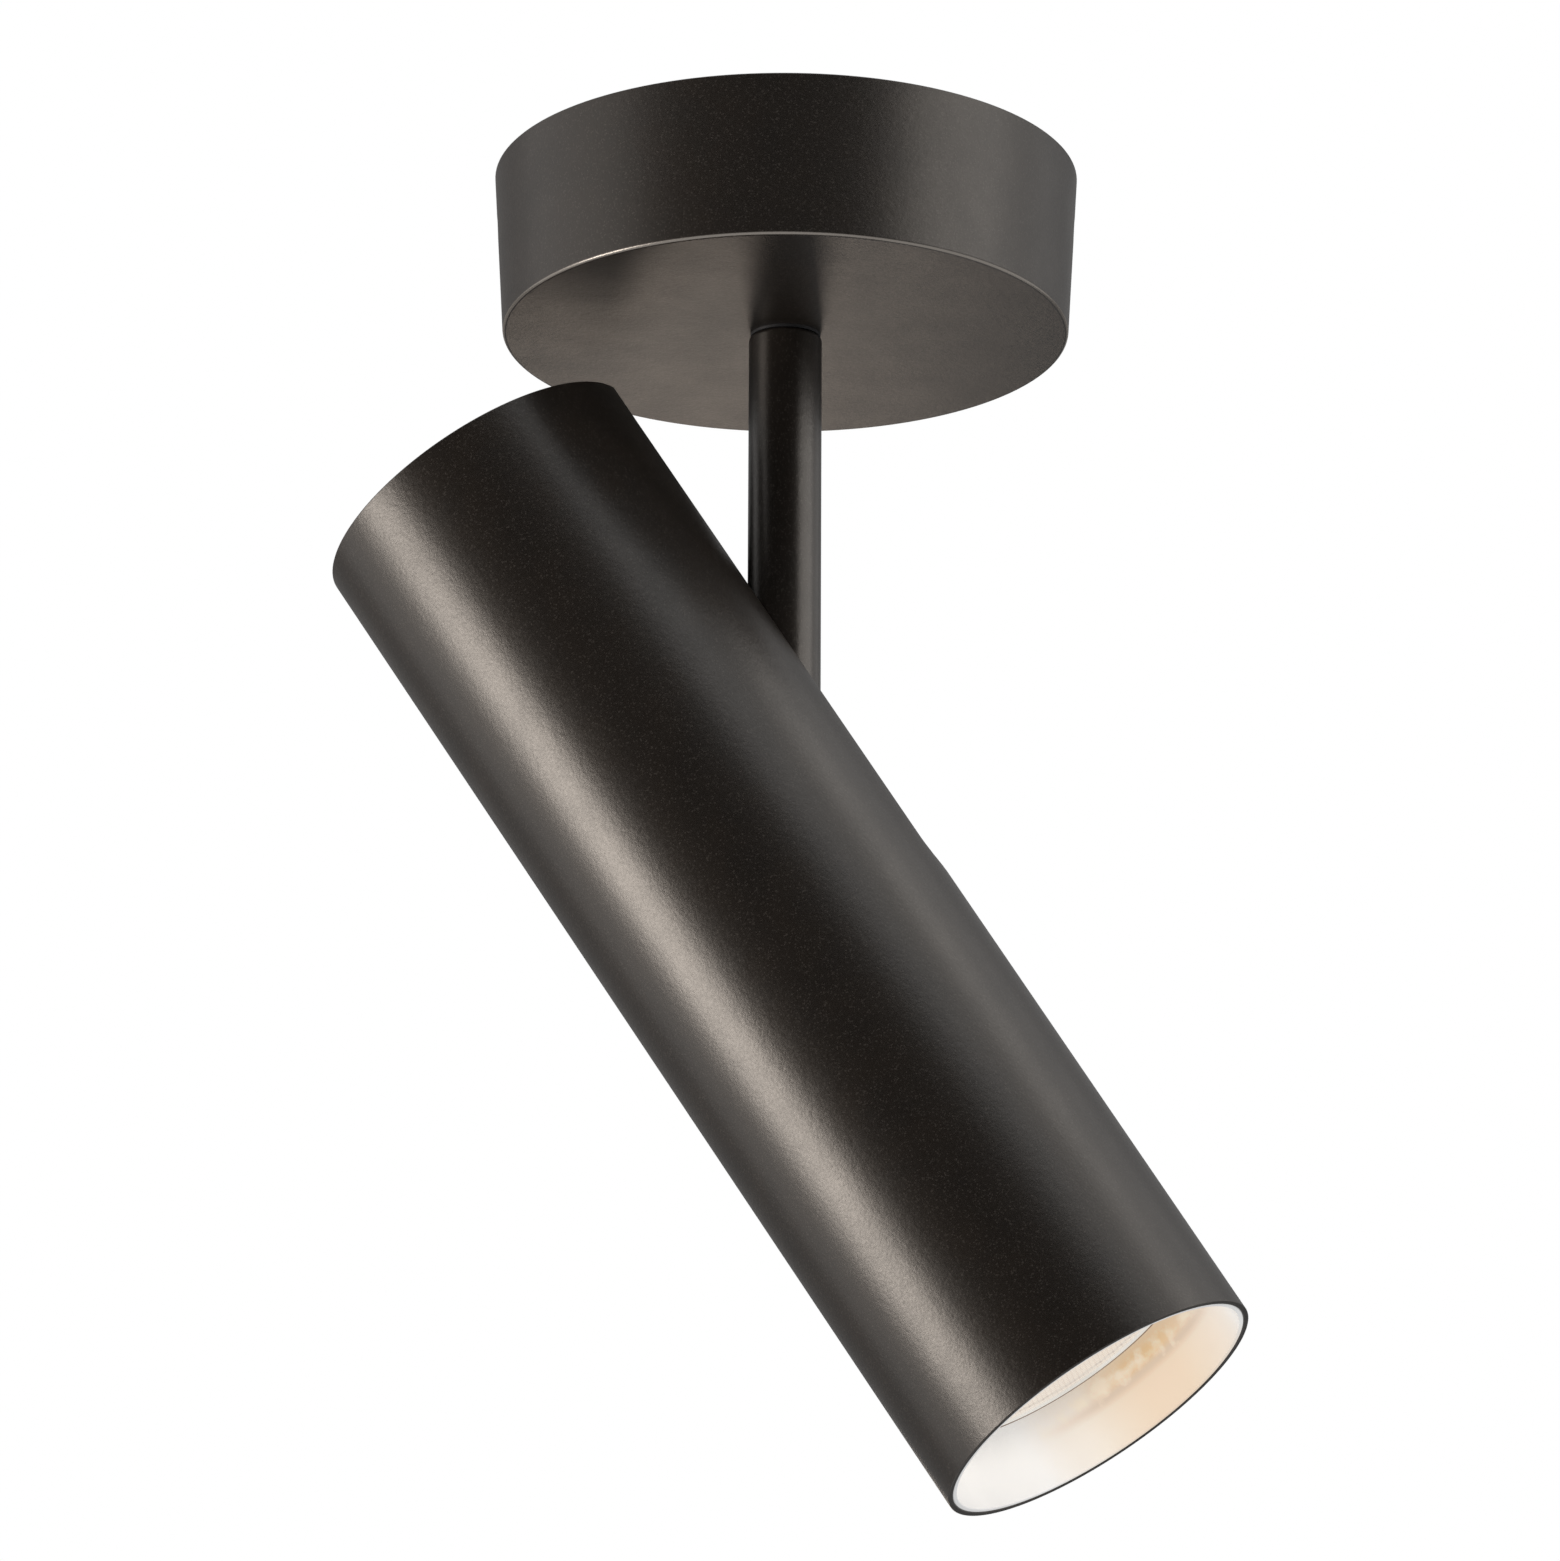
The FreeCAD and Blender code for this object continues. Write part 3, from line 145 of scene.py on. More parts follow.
def extent(node: str, seat: Seat) -> Extent:
    """Measure a node in a seat's axes.

    Args:
        node: the node's name.
        seat: the axes to measure in.

    Returns:
        Its lowest and highest corners there, and its reach from the Z axis.
    """
    inverse = seat.placed.inverted()
    points = [inverse @ vertex.co for vertex in frame["nodes"][node].data.vertices]
    low = Vector([min(point[i] for point in points) for i in range(3)])
    high = Vector([max(point[i] for point in points) for i in range(3)])
    return Extent(low, high, max(math.hypot(point.x, point.y) for point in points))


def across(x: float = 0.0, y: float = 0.0, z: float = 0.0,
           turn: Matrix = Matrix.Identity(4)) -> list[Matrix]:
    """Places of a pair on opposite sides of the Z axis, each turned where it stands."""
    return [Matrix.Translation((sign * x, sign * y, z)) @ turn for sign in BOTH_SIDES]


def round_axis(count: int) -> list[Matrix]:
    """Places spread evenly round the Z axis, from where a piece stands."""
    return [Matrix.Rotation(2 * math.pi * i / count, 4, "Z") for i in range(count)]


# --- bench: modelling with the editing operators --------------------------------------------


def deselect() -> None:
    """Leave edit mode and select nothing."""
    if bpy.context.object is not None and bpy.context.object.mode != "OBJECT":
        bpy.ops.object.mode_set(mode="OBJECT")
    bpy.ops.object.select_all(action="DESELECT")
    bpy.context.tool_settings.mesh_select_mode = (True, False, False)


def take(piece: Piece) -> None:
    """Make one piece the only selected and active one.

    Args:
        piece: the piece to select.
    """
    deselect()
    piece.select_set(True)
    bpy.context.view_layer.objects.active = piece


def named(name: str) -> Piece:
    """Name the piece that was just added, and set its size and place into its mesh.

    Args:
        name: the piece's name, also its mesh's.

    Returns:
        The piece, at the origin.
    """
    piece = bpy.context.object
    piece.name = name
    piece.data.name = name
    bpy.ops.object.transform_apply()
    return piece


@contextmanager
def whole_mesh() -> Iterator[None]:
    """Keep the active piece in edit mode, with all of its mesh selected at the start.

    Returns:
        Nothing of use while the mesh is worked on.
    """
    bpy.ops.object.mode_set(mode="EDIT")
    bpy.ops.mesh.select_all(action="SELECT")
    yield
    bpy.ops.object.mode_set(mode="OBJECT")


def apply(piece: Piece, kind: str, **settings: object) -> None:
    """Add a modifier with its settings and apply it.

    Args:
        piece: the piece that takes it.
        kind: the modifier's type.
        settings: the modifier's values, by name.
    """
    take(piece)
    modifier = piece.modifiers.new(kind.lower(), kind)
    for key, setting in settings.items():
        setattr(modifier, key, setting)
    bpy.ops.object.modifier_apply(modifier=modifier.name)


def mm(*points: Sequence[float]) -> list[tuple[float, ...]]:
    """Points that are given in millimetres, in metres."""
    return [tuple(value * MM for value in point) for point in points]


def arc(centre: Spot, radius: float, start: float, end: float, steps: int = 4) -> list[Spot]:
    """Points of a rounded corner in a profile, between two directions in degrees."""
    turns = [math.radians(start + (end - start) * i / steps) for i in range(steps + 1)]
    return [(centre[0] + radius * math.cos(t), centre[1] + radius * math.sin(t)) for t in turns]


def turned(name: str, profile: Profile, sides: int = 96, solid: bool = False) -> Piece:
    """Carry a ring of points along a profile about the Z axis.

    Args:
        name: the new piece's name.
        profile: radius and level of each ring.
        sides: points round the ring.
        solid: close both ends with a face, instead of joining the last ring to the first.

    Returns:
        The piece, closed, with its faces outwards.
    """
    deselect()
    rings = list(profile) if solid else [*profile, profile[0]]
    radius, level = rings[0]
    bpy.ops.mesh.primitive_circle_add(vertices=sides, radius=radius, location=(0, 0, level))
    piece = named(name)
    with whole_mesh():
        for low, high in zip(rings, rings[1:]):
            rise = (0, 0, high[1] - low[1])
            grow = high[0] / low[0]
            bpy.ops.mesh.extrude_region_move(TRANSFORM_OT_translate={"value": rise})
            bpy.ops.transform.resize(value=(grow, grow, 1), center_override=(0, 0, high[1]))
        bpy.ops.mesh.select_all(action="SELECT")
        if solid:
            bpy.ops.mesh.fill_holes(sides=0)
        bpy.ops.mesh.remove_doubles(threshold=HAIR)
        bpy.ops.mesh.normals_make_consistent(inside=False)
    return piece


def cylinder(name: str, radius: float, low: float, high: float, sides: int = 48) -> Piece:
    """Make a plain round bar on the Z axis, as a start or as a cutter.

    Args:
        name: the new piece's name.
        radius: the bar's radius.
        low: level of its lower end.
        high: level of its upper end.
        sides: points round it.

    Returns:
        The bar.
    """
    deselect()
    bpy.ops.mesh.primitive_cylinder_add(
        vertices=sides, radius=radius, depth=high - low, location=(0, 0, (low + high) / 2))
    return named(name)


def block(name: str, low: Sequence[float], high: Sequence[float]) -> Piece:
    """Make a plain block between two corners, as a start or as a cutter.

    Args:
        name: the new piece's name.
        low: its lowest corner.
        high: its highest corner.

    Returns:
        The block.
    """
    deselect()
    centre = [(a + b) / 2 for a, b in zip(low, high)]
    bpy.ops.mesh.primitive_cube_add(size=1, location=centre)
    bpy.context.object.scale = [b - a for a, b in zip(low, high)]
    return named(name)


def laid(piece: Piece, place: Matrix) -> Piece:
    """Move a piece by a matrix.

    Args:
        piece: the piece.
        place: where it goes, from where it stands.

    Returns:
        The same piece, with its place in its mesh.
    """
    take(piece)
    piece.matrix_world = place @ piece.matrix_world
    bpy.ops.object.transform_apply()
    return piece


def moved(piece: Piece, seat: Seat) -> Piece:
    """Lay a piece that was made on the Z axis into a seat."""
    return laid(piece, seat.placed)


def drill(radius: float, low: float, high: float, x: float = 0.0, y: float = 0.0,
          sides: int = 32) -> Piece:
    """Make a cutter of an upright round hole at one place, between two levels."""
    return moved(cylinder("drill", radius, low, high, sides), ORIGIN.beside(x, y, 0))


def bar(radius: float, reach: float, axis: Axis, level: float = 0.0, sides: int = 40) -> Piece:
    """Make a round bar that reaches as far to both sides of the Z axis, along another axis."""
    seat = ORIGIN.beside(0, 0, level).tipped(axis)
    return moved(cylinder("bar", radius, -reach, reach, sides), seat)


def cut(piece: Piece, *cutters: Piece, operation: str = "DIFFERENCE") -> Piece:
    """Cut other pieces out of a piece, or join them to it, and throw them away.

    Args:
        piece: the piece that stays.
        cutters: the pieces that it meets.
        operation: what the boolean does.

    Returns:
        The piece, with doubles merged and slivers gone.
    """
    for cutter in cutters:
        apply(piece, "BOOLEAN", operation=operation, object=cutter, solver="EXACT")
        bpy.data.objects.remove(cutter)
    take(piece)
    with whole_mesh():
        bpy.ops.mesh.remove_doubles(threshold=SLIVER)
        bpy.ops.mesh.dissolve_degenerate(threshold=HAIR)
        bpy.ops.mesh.fill_holes(sides=8)
    return piece


def weld(piece: Piece, *others: Piece) -> Piece:
    """Join other pieces to a piece, one by one, under one skin.

    Args:
        piece: the piece that stays.
        others: the pieces that it takes in.

    Returns:
        The first piece.
    """
    for other in others:
        cut(piece, other, operation="UNION")
    return piece


def soften(piece: Piece, width: float, steps: int = 2, angle: float = 50.0) -> Piece:
    """Round every edge that is sharper than an angle.

    Args:
        piece: the piece.
        width: how far the rounding reaches from the edge.
        steps: how many faces make it up.
        angle: the least angle between two faces whose edge is rounded, in degrees.

    Returns:
        The same piece.
    """
    apply(piece, "BEVEL", width=width, segments=steps, limit_method="ANGLE",
          angle_limit=math.radians(angle), use_clamp_overlap=True, harden_normals=False)
    return piece


def copies(piece: Piece, places: Iterable[Matrix]) -> Piece:
    """Copy a piece to each place and join the copies under its name.

    Args:
        piece: the piece, which is used up.
        places: where each copy goes, from where the piece stands.

    Returns:
        The copies as one piece of separate closed shells.
    """
    made = []
    for place in places:
        take(piece)
        bpy.ops.object.duplicate()
        made.append(laid(bpy.context.object, place))
    name = piece.name
    bpy.data.objects.remove(piece)
    take(made[0])
    for copy in made[1:]:
        copy.select_set(True)
    bpy.ops.object.join()
    made[0].name = name
    return made[0]


def threaded(name: str, radius: float, core: float, low: float, high: float,
             pitch: float) -> Piece:
    """Make a sleeve whose outside is a real helical thread.

    Args:
        name: the new piece's name.
        radius: the crest's radius.
        core: the radius of the hole along it.
        low: the level where it starts.
        high: the level where it ends.
        pitch: the thread's pitch.

    Returns:
        The closed piece.
    """
    depth = 0.6 * pitch
    root = radius - depth
    buried = root - 0.2 * depth
    turns = max(1, int((high - low - 2 * pitch) / pitch))
    start = (low + high) / 2 - turns * pitch / 2
    deselect()
    bpy.ops.mesh.primitive_circle_add(
        vertices=3, radius=depth, fill_type="NGON", rotation=(math.radians(90), 0, 0))
    ridge = named(name + "_ridge")
    section = ((radius, 0.5), (buried, 0.05), (buried, 0.95))
    for vertex, (out, share) in zip(ridge.data.vertices, section):
        vertex.co = (out, 0, start + share * pitch)
    apply(ridge, "SCREW", steps=36, render_steps=36, iterations=turns, screw_offset=pitch,
          angle=math.radians(360), use_merge_vertices=False, use_normal_calculate=True)
    take(ridge)
    with whole_mesh():
        bpy.ops.mesh.fill_holes(sides=0)
        bpy.ops.mesh.normals_make_consistent(inside=False)
    sleeve = turned(name, [(root - depth / 2, low), (root, low + depth), (root, high - depth),
                           (root - depth / 2, high), (core, high), (core, low)], sides=36)
    return weld(sleeve, ridge)


# --- turned stock, screws and leads ---------------------------------------------------------


def hexagonal(name: str, flats: float, low: float, high: float) -> Piece:
    """Make a plain six-sided bar from its width between two flats."""
    return moved(cylinder(name, flats / math.sqrt(3), low, high, sides=6), ORIGIN.spun(30))


def long_hole(radius: float, run: float, low: float, high: float, x: float) -> Piece:
    """Make a cutter of a long hole with round ends.

    Args:
        radius: half its width.
        run: how far each end's centre lies from its middle, along X.
        low: the level where the cutter starts.
        high: the level where it ends.
        x: where its middle is, along X.

    Returns:
        The cutter.
    """
    hole = moved(cylinder("long_hole", radius, low, high, sides=30), ORIGIN.spun(6))
    for vertex in hole.data.vertices:
        vertex.co.x += math.copysign(run, vertex.co.x)
    return moved(hole, ORIGIN.beside(x, 0, 0))


def sector(name: str, inner: float, outer: float, low: float, high: float,
           start: float, end: float) -> Piece:
    """Make a piece of a ring between two directions, spun from its section.

    Args:
        name: the new piece's name.
        inner: the ring's inner radius.
        outer: its outer radius.
        low: its lower level.
        high: its upper level.
        start: the direction where it starts, in degrees from X.
        end: the direction where it ends.

    Returns:
        The closed piece.
    """
    deselect()
    bpy.ops.mesh.primitive_plane_add(size=1, rotation=(math.radians(90), 0, 0),
                                     location=((inner + outer) / 2, 0, (low + high) / 2))
    bpy.context.object.scale = (outer - inner, high - low, 1)
    piece = moved(named(name), ORIGIN.spun(start))
    steps = max(3, round(abs(end - start) / 7.5))
    with whole_mesh():
        bpy.ops.mesh.spin(steps=steps, angle=math.radians(start - end), center=(0, 0, 0),
                          axis=(0, 0, 1))
        bpy.ops.mesh.select_all(action="SELECT")
        bpy.ops.mesh.remove_doubles(threshold=HAIR)
        bpy.ops.mesh.normals_make_consistent(inside=False)
    return piece


def hexagon_nut(name: str, flats: float, low: float, high: float, bore: float) -> Piece:
    """Make a nut with its corners turned off at both faces and a countersunk bore.

    Args:
        name: the new piece's name.
        flats: its width between two flats.
        low: level of its lower face.
        high: level of its upper face.
        bore: the bore's radius.

    Returns:
        The nut.
    """
    corner, face = flats / math.sqrt(3), flats / 2 * 0.96
    fall, sink, over = 0.55 * (corner - flats / 2), 0.35 * MM, 0.2 * MM
    nut = hexagonal(name, flats, low - 0.1 * MM, high + 0.1 * MM)
    turning = turned("turning", [
        (face, low), (corner + 0.01 * MM, low + fall),
        (corner + 0.01 * MM, high - fall), (face, high)], sides=72, solid=True)
    cut(nut, turning, operation="INTERSECT")
    return cut(nut, turned("bore", [
        (bore + sink + over, low - over), (bore, low + sink), (bore, high - sink),
        (bore + sink + over, high + over)], sides=48, solid=True))


class Recess(Enum):
    """What a screwdriver or key fits into."""

    CROSS = "cross"
    SLOT = "slot"
    HEX = "hex"

    def cutter(self, size: float, depth: float, top: float) -> Piece:
        """Make a cutter of the recess, a little higher than the screw's top.

        Args:
            size: the recess's width across.
            depth: how deep it goes.
            top: the level of the screw's top.

        Returns:
            The cutter.
        """
        over = top + 0.5 * MM
        if self is Recess.HEX:
            return hexagonal("key", size, top - depth, over)
        if self is Recess.SLOT:
            half_width = 0.11 * size
            return block("slot", (-size, -half_width, top - depth), (size, half_width, over))
        half, thin = size / 2, 0.13 * size
        shorter, thinner = 0.45, 0.8  # the arms' lower ends
        arms = []
        for turn in (0, 90):
            arm = block("arm", (-half, -thin, top - depth), (half, thin, over))
            for vertex in arm.data.vertices:
                if vertex.co.z < top:
                    vertex.co = (shorter * vertex.co.x, thinner * vertex.co.y, vertex.co.z)
            arms.append(moved(arm, ORIGIN.spun(turn)))
        return weld(*arms)


@dataclass(frozen=True)
class Screw:
    """A machine screw: its head stands on level 0 and its shank hangs below."""

    shank: float
    length: float
    recess: Recess
    recess_size: float
    recess_depth: float
    pitch: float = 0.5 * MM
    head: float = 0.0
    height: float = 0.0
    dome: float = 0.0

    def build(self, name: str) -> Piece:
        """Turn the screw and cut its recess."""
        screw = turned(name, self.thread() + self.end(), sides=36, solid=True)
        return cut(screw, self.recess.cutter(self.recess_size, self.recess_depth, self.height))

    def thread(self) -> list[Spot]:
        """Draw the shank from its lower end up, with a ridge for every pitch.

        A ridge's fall, its crest and the steps between them are shares of the pitch.

        Returns:
            The profile's points below level 0.
        """
        fall, pitch, crest = 0.3 * self.pitch, self.pitch, 0.06 * self.pitch
        root = self.shank - 2 * fall
        profile = [(0.55 * self.shank, -self.length), (root, -self.length + fall)]
        level = -self.length + 1.5 * pitch
        stop = -0.6 * pitch if self.head else -0.8 * pitch
        while level < stop:
            profile += [(root, level - 0.5 * pitch), (self.shank, level - crest),
                        (self.shank, level + crest)]
            level += pitch
        return [*profile, (root, min(level - 0.5 * pitch, -0.05 * pitch))]

    def end(self) -> list[Spot]:
        """Draw the upper end: a domed head, a flat one, or a set screw's flush end.

        Returns:
            The profile's points from level 0 up.
        """
        fall, head, top = 0.3 * self.pitch, self.head, self.height
        if not head:
            return [(self.shank - 1.2 * fall, -0.1 * MM), (self.shank - 2 * fall, 0),
                    (0.3 * self.shank, 0)]
        foot_edge, top_edge = min(0.12 * top, 0.15 * MM), 0.2 * MM
        foot = [(self.shank, 0), (head - foot_edge, 0), (head, foot_edge)]
        if not self.dome:
            return [*foot, (head, top - top_edge), (head - top_edge, top), (0.3 * head, top)]
        rise = top - self.dome
        turns = [math.radians(angle) for angle in (18, 36, 54, 70, 82)]
        dome = [(head * math.cos(t), rise + self.dome * math.sin(t)) for t in turns]
        return [*foot, (head, rise), *dome, (0.06 * head, top)]


def lead(name: str, *points: Sequence[float]) -> Piece:
    """Make a round lead along the smooth line that the points pull.

    Args:
        name: the new piece's name.
        points: where the lead's line is pulled to, in millimetres.

    Returns:
        The closed piece.
    """
    deselect()
    bpy.ops.curve.primitive_nurbs_path_add()
    curve = bpy.context.object
    curve.data.splines.clear()
    spline = curve.data.splines.new("NURBS")
    spline.points.add(len(points) - 1)
    for spot, point in zip(spline.points, mm(*points)):
        spot.co = (*point, 1.0)
    spline.order_u = 3
    spline.use_endpoint_u = True
    spline.resolution_u = 10
    curve.data.bevel_depth = LEAD_RADIUS
    curve.data.bevel_resolution = 4
    curve.data.use_fill_caps = True
    bpy.ops.object.convert(target="MESH")
    piece = named(name)
    with whole_mesh():
        bpy.ops.mesh.remove_doubles(threshold=SLIVER)
        bpy.ops.mesh.fill_holes(sides=0)
        bpy.ops.mesh.normals_make_consistent(inside=False)
    return piece


# --- finishes -------------------------------------------------------------------------------


class Tree:
    """A node tree, built a node at a time."""

    def __init__(self, tree: bpy.types.NodeTree) -> None:
        """Empty the tree."""
        self.tree = tree
        self.tree.nodes.clear()

    def give(self, socket: Socket, value: object) -> None:
        """Give a socket what it takes.

        Args:
            socket: the socket.
            value: a plain value, or the socket that it is linked to.
        """
        if isinstance(value, Socket):
            self.tree.links.new(value, socket)
        else:
            socket.default_value = value

    def add(self, kind: str, **settings: object) -> bpy.types.Node:
        """Add a node.

        Args:
            kind: its type.
            settings: what its sockets and its other settings are given, by name.

        Returns:
            The node.
        """
        node = self.tree.nodes.new(kind)
        for key, setting in settings.items():
            if key in node.inputs:
                self.give(node.inputs[key], setting)
            else:
                setattr(node, key, setting)
        return node

    def sum(self, operation: str, *values: object, clamp: bool = False) -> Socket:
        """Do one step of arithmetic.

        Args:
            operation: what is done.
            values: the values that it takes, each a socket or a number.
            clamp: keep the result between 0 and 1.

        Returns:
            The result.
        """
        node = self.add("ShaderNodeMath", operation=operation, use_clamp=clamp)
        for socket, value in zip(node.inputs, values):
            self.give(socket, value)
        return node.outputs[0]

    def spread(self, source: Socket, low: float, high: float,
               source_low: float = 0.3, source_high: float = 0.7) -> Socket:
        """Map a value's range onto the range from low to high, and hold it at the ends."""
        ranges = {"From Min": source_low, "From Max": source_high, "To Min": low, "To Max": high}
        return self.add("ShaderNodeMapRange", Value=source, **ranges).outputs["Result"]

    def either(self, share: Socket, first: Socket, second: Socket) -> Socket:
        """Go from one shader to another by a share.

        Args:
            share: 0 for the first and 1 for the second.
            first: one shader.
            second: the other.

        Returns:
            The mixed shader.
        """
        node = self.add("ShaderNodeMixShader")
        for socket, value in zip(node.inputs, (share, first, second)):
            self.give(socket, value)
        return node.outputs[0]


class Nodes(Tree):
    """The node tree of a material with one principled shader."""

    def __init__(self, name: str) -> None:
        """Start a material with its shader and output.

        Args:
            name: the material's name.
        """
        self.material = bpy.data.materials.new(name)
        self.material.use_nodes = True
        super().__init__(self.material.node_tree)
        self.shader = self.add("ShaderNodeBsdfPrincipled")
        self.add("ShaderNodeOutputMaterial", Surface=self.shader.outputs["BSDF"])

    def feed(self, name: str, value: object) -> None:
        """Give one of the shader's inputs a value or another socket."""
        self.give(self.shader.inputs[name], value)

    def fed(self, name: str) -> Socket:
        """The socket that feeds one of the shader's inputs."""
        return self.shader.inputs[name].links[0].from_socket

    def place(self, seat: Seat, stretch: Sequence[float] = (1, 1, 1)) -> Socket:
        """Read the piece's own coordinates in a seat's axes, in metres.

        Args:
            seat: the axes to read the place in.
            stretch: how many times denser a pattern lies along each axis.

        Returns:
            The vector socket.
        """
        inverse = seat.placed.inverted()
        mapping = self.add("ShaderNodeMapping", vector_type="POINT",
                           Vector=self.add("ShaderNodeTexCoord").outputs["Object"],
                           Location=inverse.to_translation(), Rotation=inverse.to_euler("XYZ"))
        scaled = self.add("ShaderNodeVectorMath", operation="MULTIPLY")
        self.give(scaled.inputs[0], mapping.outputs["Vector"])
        self.give(scaled.inputs[1], stretch)
        return scaled.outputs["Vector"]

    def axes(self, place: Socket) -> Sequence[Socket]:
        """The three coordinates of a place."""
        return self.add("ShaderNodeSeparateXYZ", Vector=place).outputs

    def noise(self, place: Socket, size: float, detail: float = 3.0) -> Socket:
        """Noise whose grains are about a size in metres, with some finer layers."""
        return self.add("ShaderNodeTexNoise", Vector=place, Scale=1 / size, Detail=detail,
                        Roughness=0.55).outputs["Fac"]

    def mix(self, share: Socket, under: object, over: object, how: str = "MIX") -> Socket:
        """Lay one colour over another.

        Args:
            share: how much of the upper one is laid, from 0 to 1.
            under: the lower one, a socket or a plain colour.
            over: the upper one, the same.
            how: the way the two blend.

        Returns:
            The mixed colour.
        """
        node = self.add("ShaderNodeMix", data_type="RGBA", blend_type=how)
        self.give(node.inputs[0], share)
        for place, colour in ((6, under), (7, over)):
            self.give(node.inputs[place], colour if isinstance(colour, Socket) else (*colour, 1.0))
        return node.outputs[2]

    def far(self, first: Socket, second: Socket) -> Socket:
        """The length of two values at right angles."""
        return self.sum("SQRT", self.sum("ADD", self.sum("POWER", first, 2.0),
                                         self.sum("POWER", second, 2.0)))

    def off_step(self, steps: Socket) -> Socket:
        """How far a value lies from the nearest whole number, from -0.5 to 0.5."""
        return self.sum("SUBTRACT", self.sum("FRACT", self.sum("ADD", steps, 0.5)), 0.5)

    def raised(self, height: Socket, depth: float, under: Optional[Socket] = None) -> Socket:
        """Make bump from a height.

        Args:
            height: a height of 0 to 1.
            depth: how deep that is, in metres.
            under: the bump below it, if it has one.

        Returns:
            The bumped normal.
        """
        node = self.add("ShaderNodeBump", Strength=1.0, Distance=depth, Height=height)
        if under is not None:
            self.give(node.inputs["Normal"], under)
        return node.outputs["Normal"]


def linear(*screen: int) -> Colour:
    """A colour of the screen, 0 to 255, as the shader wants it."""
    return tuple(share / 12.92 if share <= 0.04045 else ((share + 0.055) / 1.055) ** 2.4
                 for share in (value / 255 for value in screen))


@dataclass(frozen=True)
class Finish:
    """A surface with a fine grain, a slow change of colour and a slow change of gloss."""

    name: str
    slot: str
    colour: Colour
    second: Colour
    gloss: tuple[float, float]
    grain: float = 0.35 * MM
    depth: float = 0.004 * MM
    mottle: float = 9 * MM
    metallic: float = 0.0
    specular: float = 0.5
    stretch: tuple[float, float, float] = (1.0, 1.0, 1.0)
    seat: Seat = ORIGIN
    tint: Colour = (1.0, 1.0, 1.0)

    def material(self) -> bpy.types.Material:
        """Build the finish's material.

        Returns:
            The material.
        """
        nodes = Nodes(self.name)
        slow = nodes.noise(nodes.place(self.seat), self.mottle, detail=2.0)
        fine = nodes.noise(nodes.place(self.seat, self.stretch), self.grain)
        nodes.feed("Metallic", self.metallic)
        nodes.feed("Specular IOR Level", self.specular)
        nodes.feed("Specular Tint", (*self.tint, 1.0))
        nodes.feed("Base Color", nodes.mix(nodes.spread(slow, 0, 1), self.colour, self.second))
        mixed = nodes.sum("ADD", nodes.spread(fine, -0.5, 0.5), nodes.spread(slow, 0.25, 0.75))
        nodes.feed("Roughness", nodes.spread(mixed, *self.gloss, 0, 1))
        nodes.feed("Normal", nodes.raised(fine, self.depth))
        self.detail(nodes)
        return nodes.material

    def detail(self, nodes: Nodes) -> None:
        """Add what only some finishes have."""


@dataclass(frozen=True)
class SatinCoat(Finish):
    """Satin powder coat: a dark film over fine orange peel, with tiny bright flakes."""

    slot: str = "satin_black"
    colour: Colour = linear(31, 26, 22)
    second: Colour = linear(25, 21, 18)
    gloss: tuple[float, float] = (0.30, 0.37)
    grain: float = 0.45 * MM
    depth: float = 0.020 * MM
    tint: Colour = (1.0, 0.94, 0.88)
    flake: float = 0.22 * MM
    flake_colour: Colour = (0.07, 0.062, 0.055)
    flake_share: float = 0.3
    rarest: float = 0.86
    peel: float = 1.4 * MM
    peel_depth: float = 0.024 * MM

    def detail(self, nodes: Nodes) -> None:
        """Scatter flakes that catch the light a little more than the film, over soft peel.

        Args:
            nodes: the material's nodes.
        """
        place = nodes.place(self.seat)
        peel = nodes.noise(place, self.peel, detail=1.0)
        nodes.feed("Normal", nodes.raised(peel, self.peel_depth, under=nodes.fed("Normal")))
        cells = nodes.add("ShaderNodeTexVoronoi", Scale=1 / self.flake, Vector=place)
        level = nodes.add("ShaderNodeSeparateColor", Color=cells.outputs["Color"]).outputs[0]
        share = nodes.spread(level, 0.0, self.flake_share, self.rarest, 1.0)
        nodes.feed("Base Color", nodes.mix(share, nodes.fed("Base Color"), self.flake_colour, "ADD"))


@dataclass(frozen=True)
class EdgedCoat(SatinCoat):
    """Satin coat that is thin and glossy round the corner of a drawn cup."""

    corner_radius: float = 48.9 * MM
    corner_level: float = -28.9 * MM
    corner_colour: Colour = (0.22, 0.20, 0.18)
    corner_metal: float = 0.7
    corner_gloss: float = 0.6

    def detail(self, nodes: Nodes) -> None:
        """Let the metal show a little through the film along the corner.

        Args:
            nodes: the material's nodes.
        """
        SatinCoat.detail(self, nodes)
        x, y, z = nodes.axes(nodes.place(self.seat))
        outside = nodes.spread(nodes.far(x, y), 0.0, 1.0, self.corner_radius,
                               self.corner_radius + 0.12 * MM)
        low = nodes.spread(z, 1.0, 0.0, self.corner_level + 0.34 * MM, self.corner_level + 0.50 * MM)
        corner = nodes.sum("MULTIPLY", outside, low)
        nodes.feed("Base Color", nodes.mix(corner, nodes.fed("Base Color"), self.corner_colour))
        nodes.feed("Metallic", nodes.sum("MULTIPLY", corner, self.corner_metal))
        kept = nodes.spread(corner, 1.0, self.corner_gloss, 0.0, 1.0)
        nodes.feed("Roughness", nodes.sum("MULTIPLY", nodes.fed("Roughness"), kept))


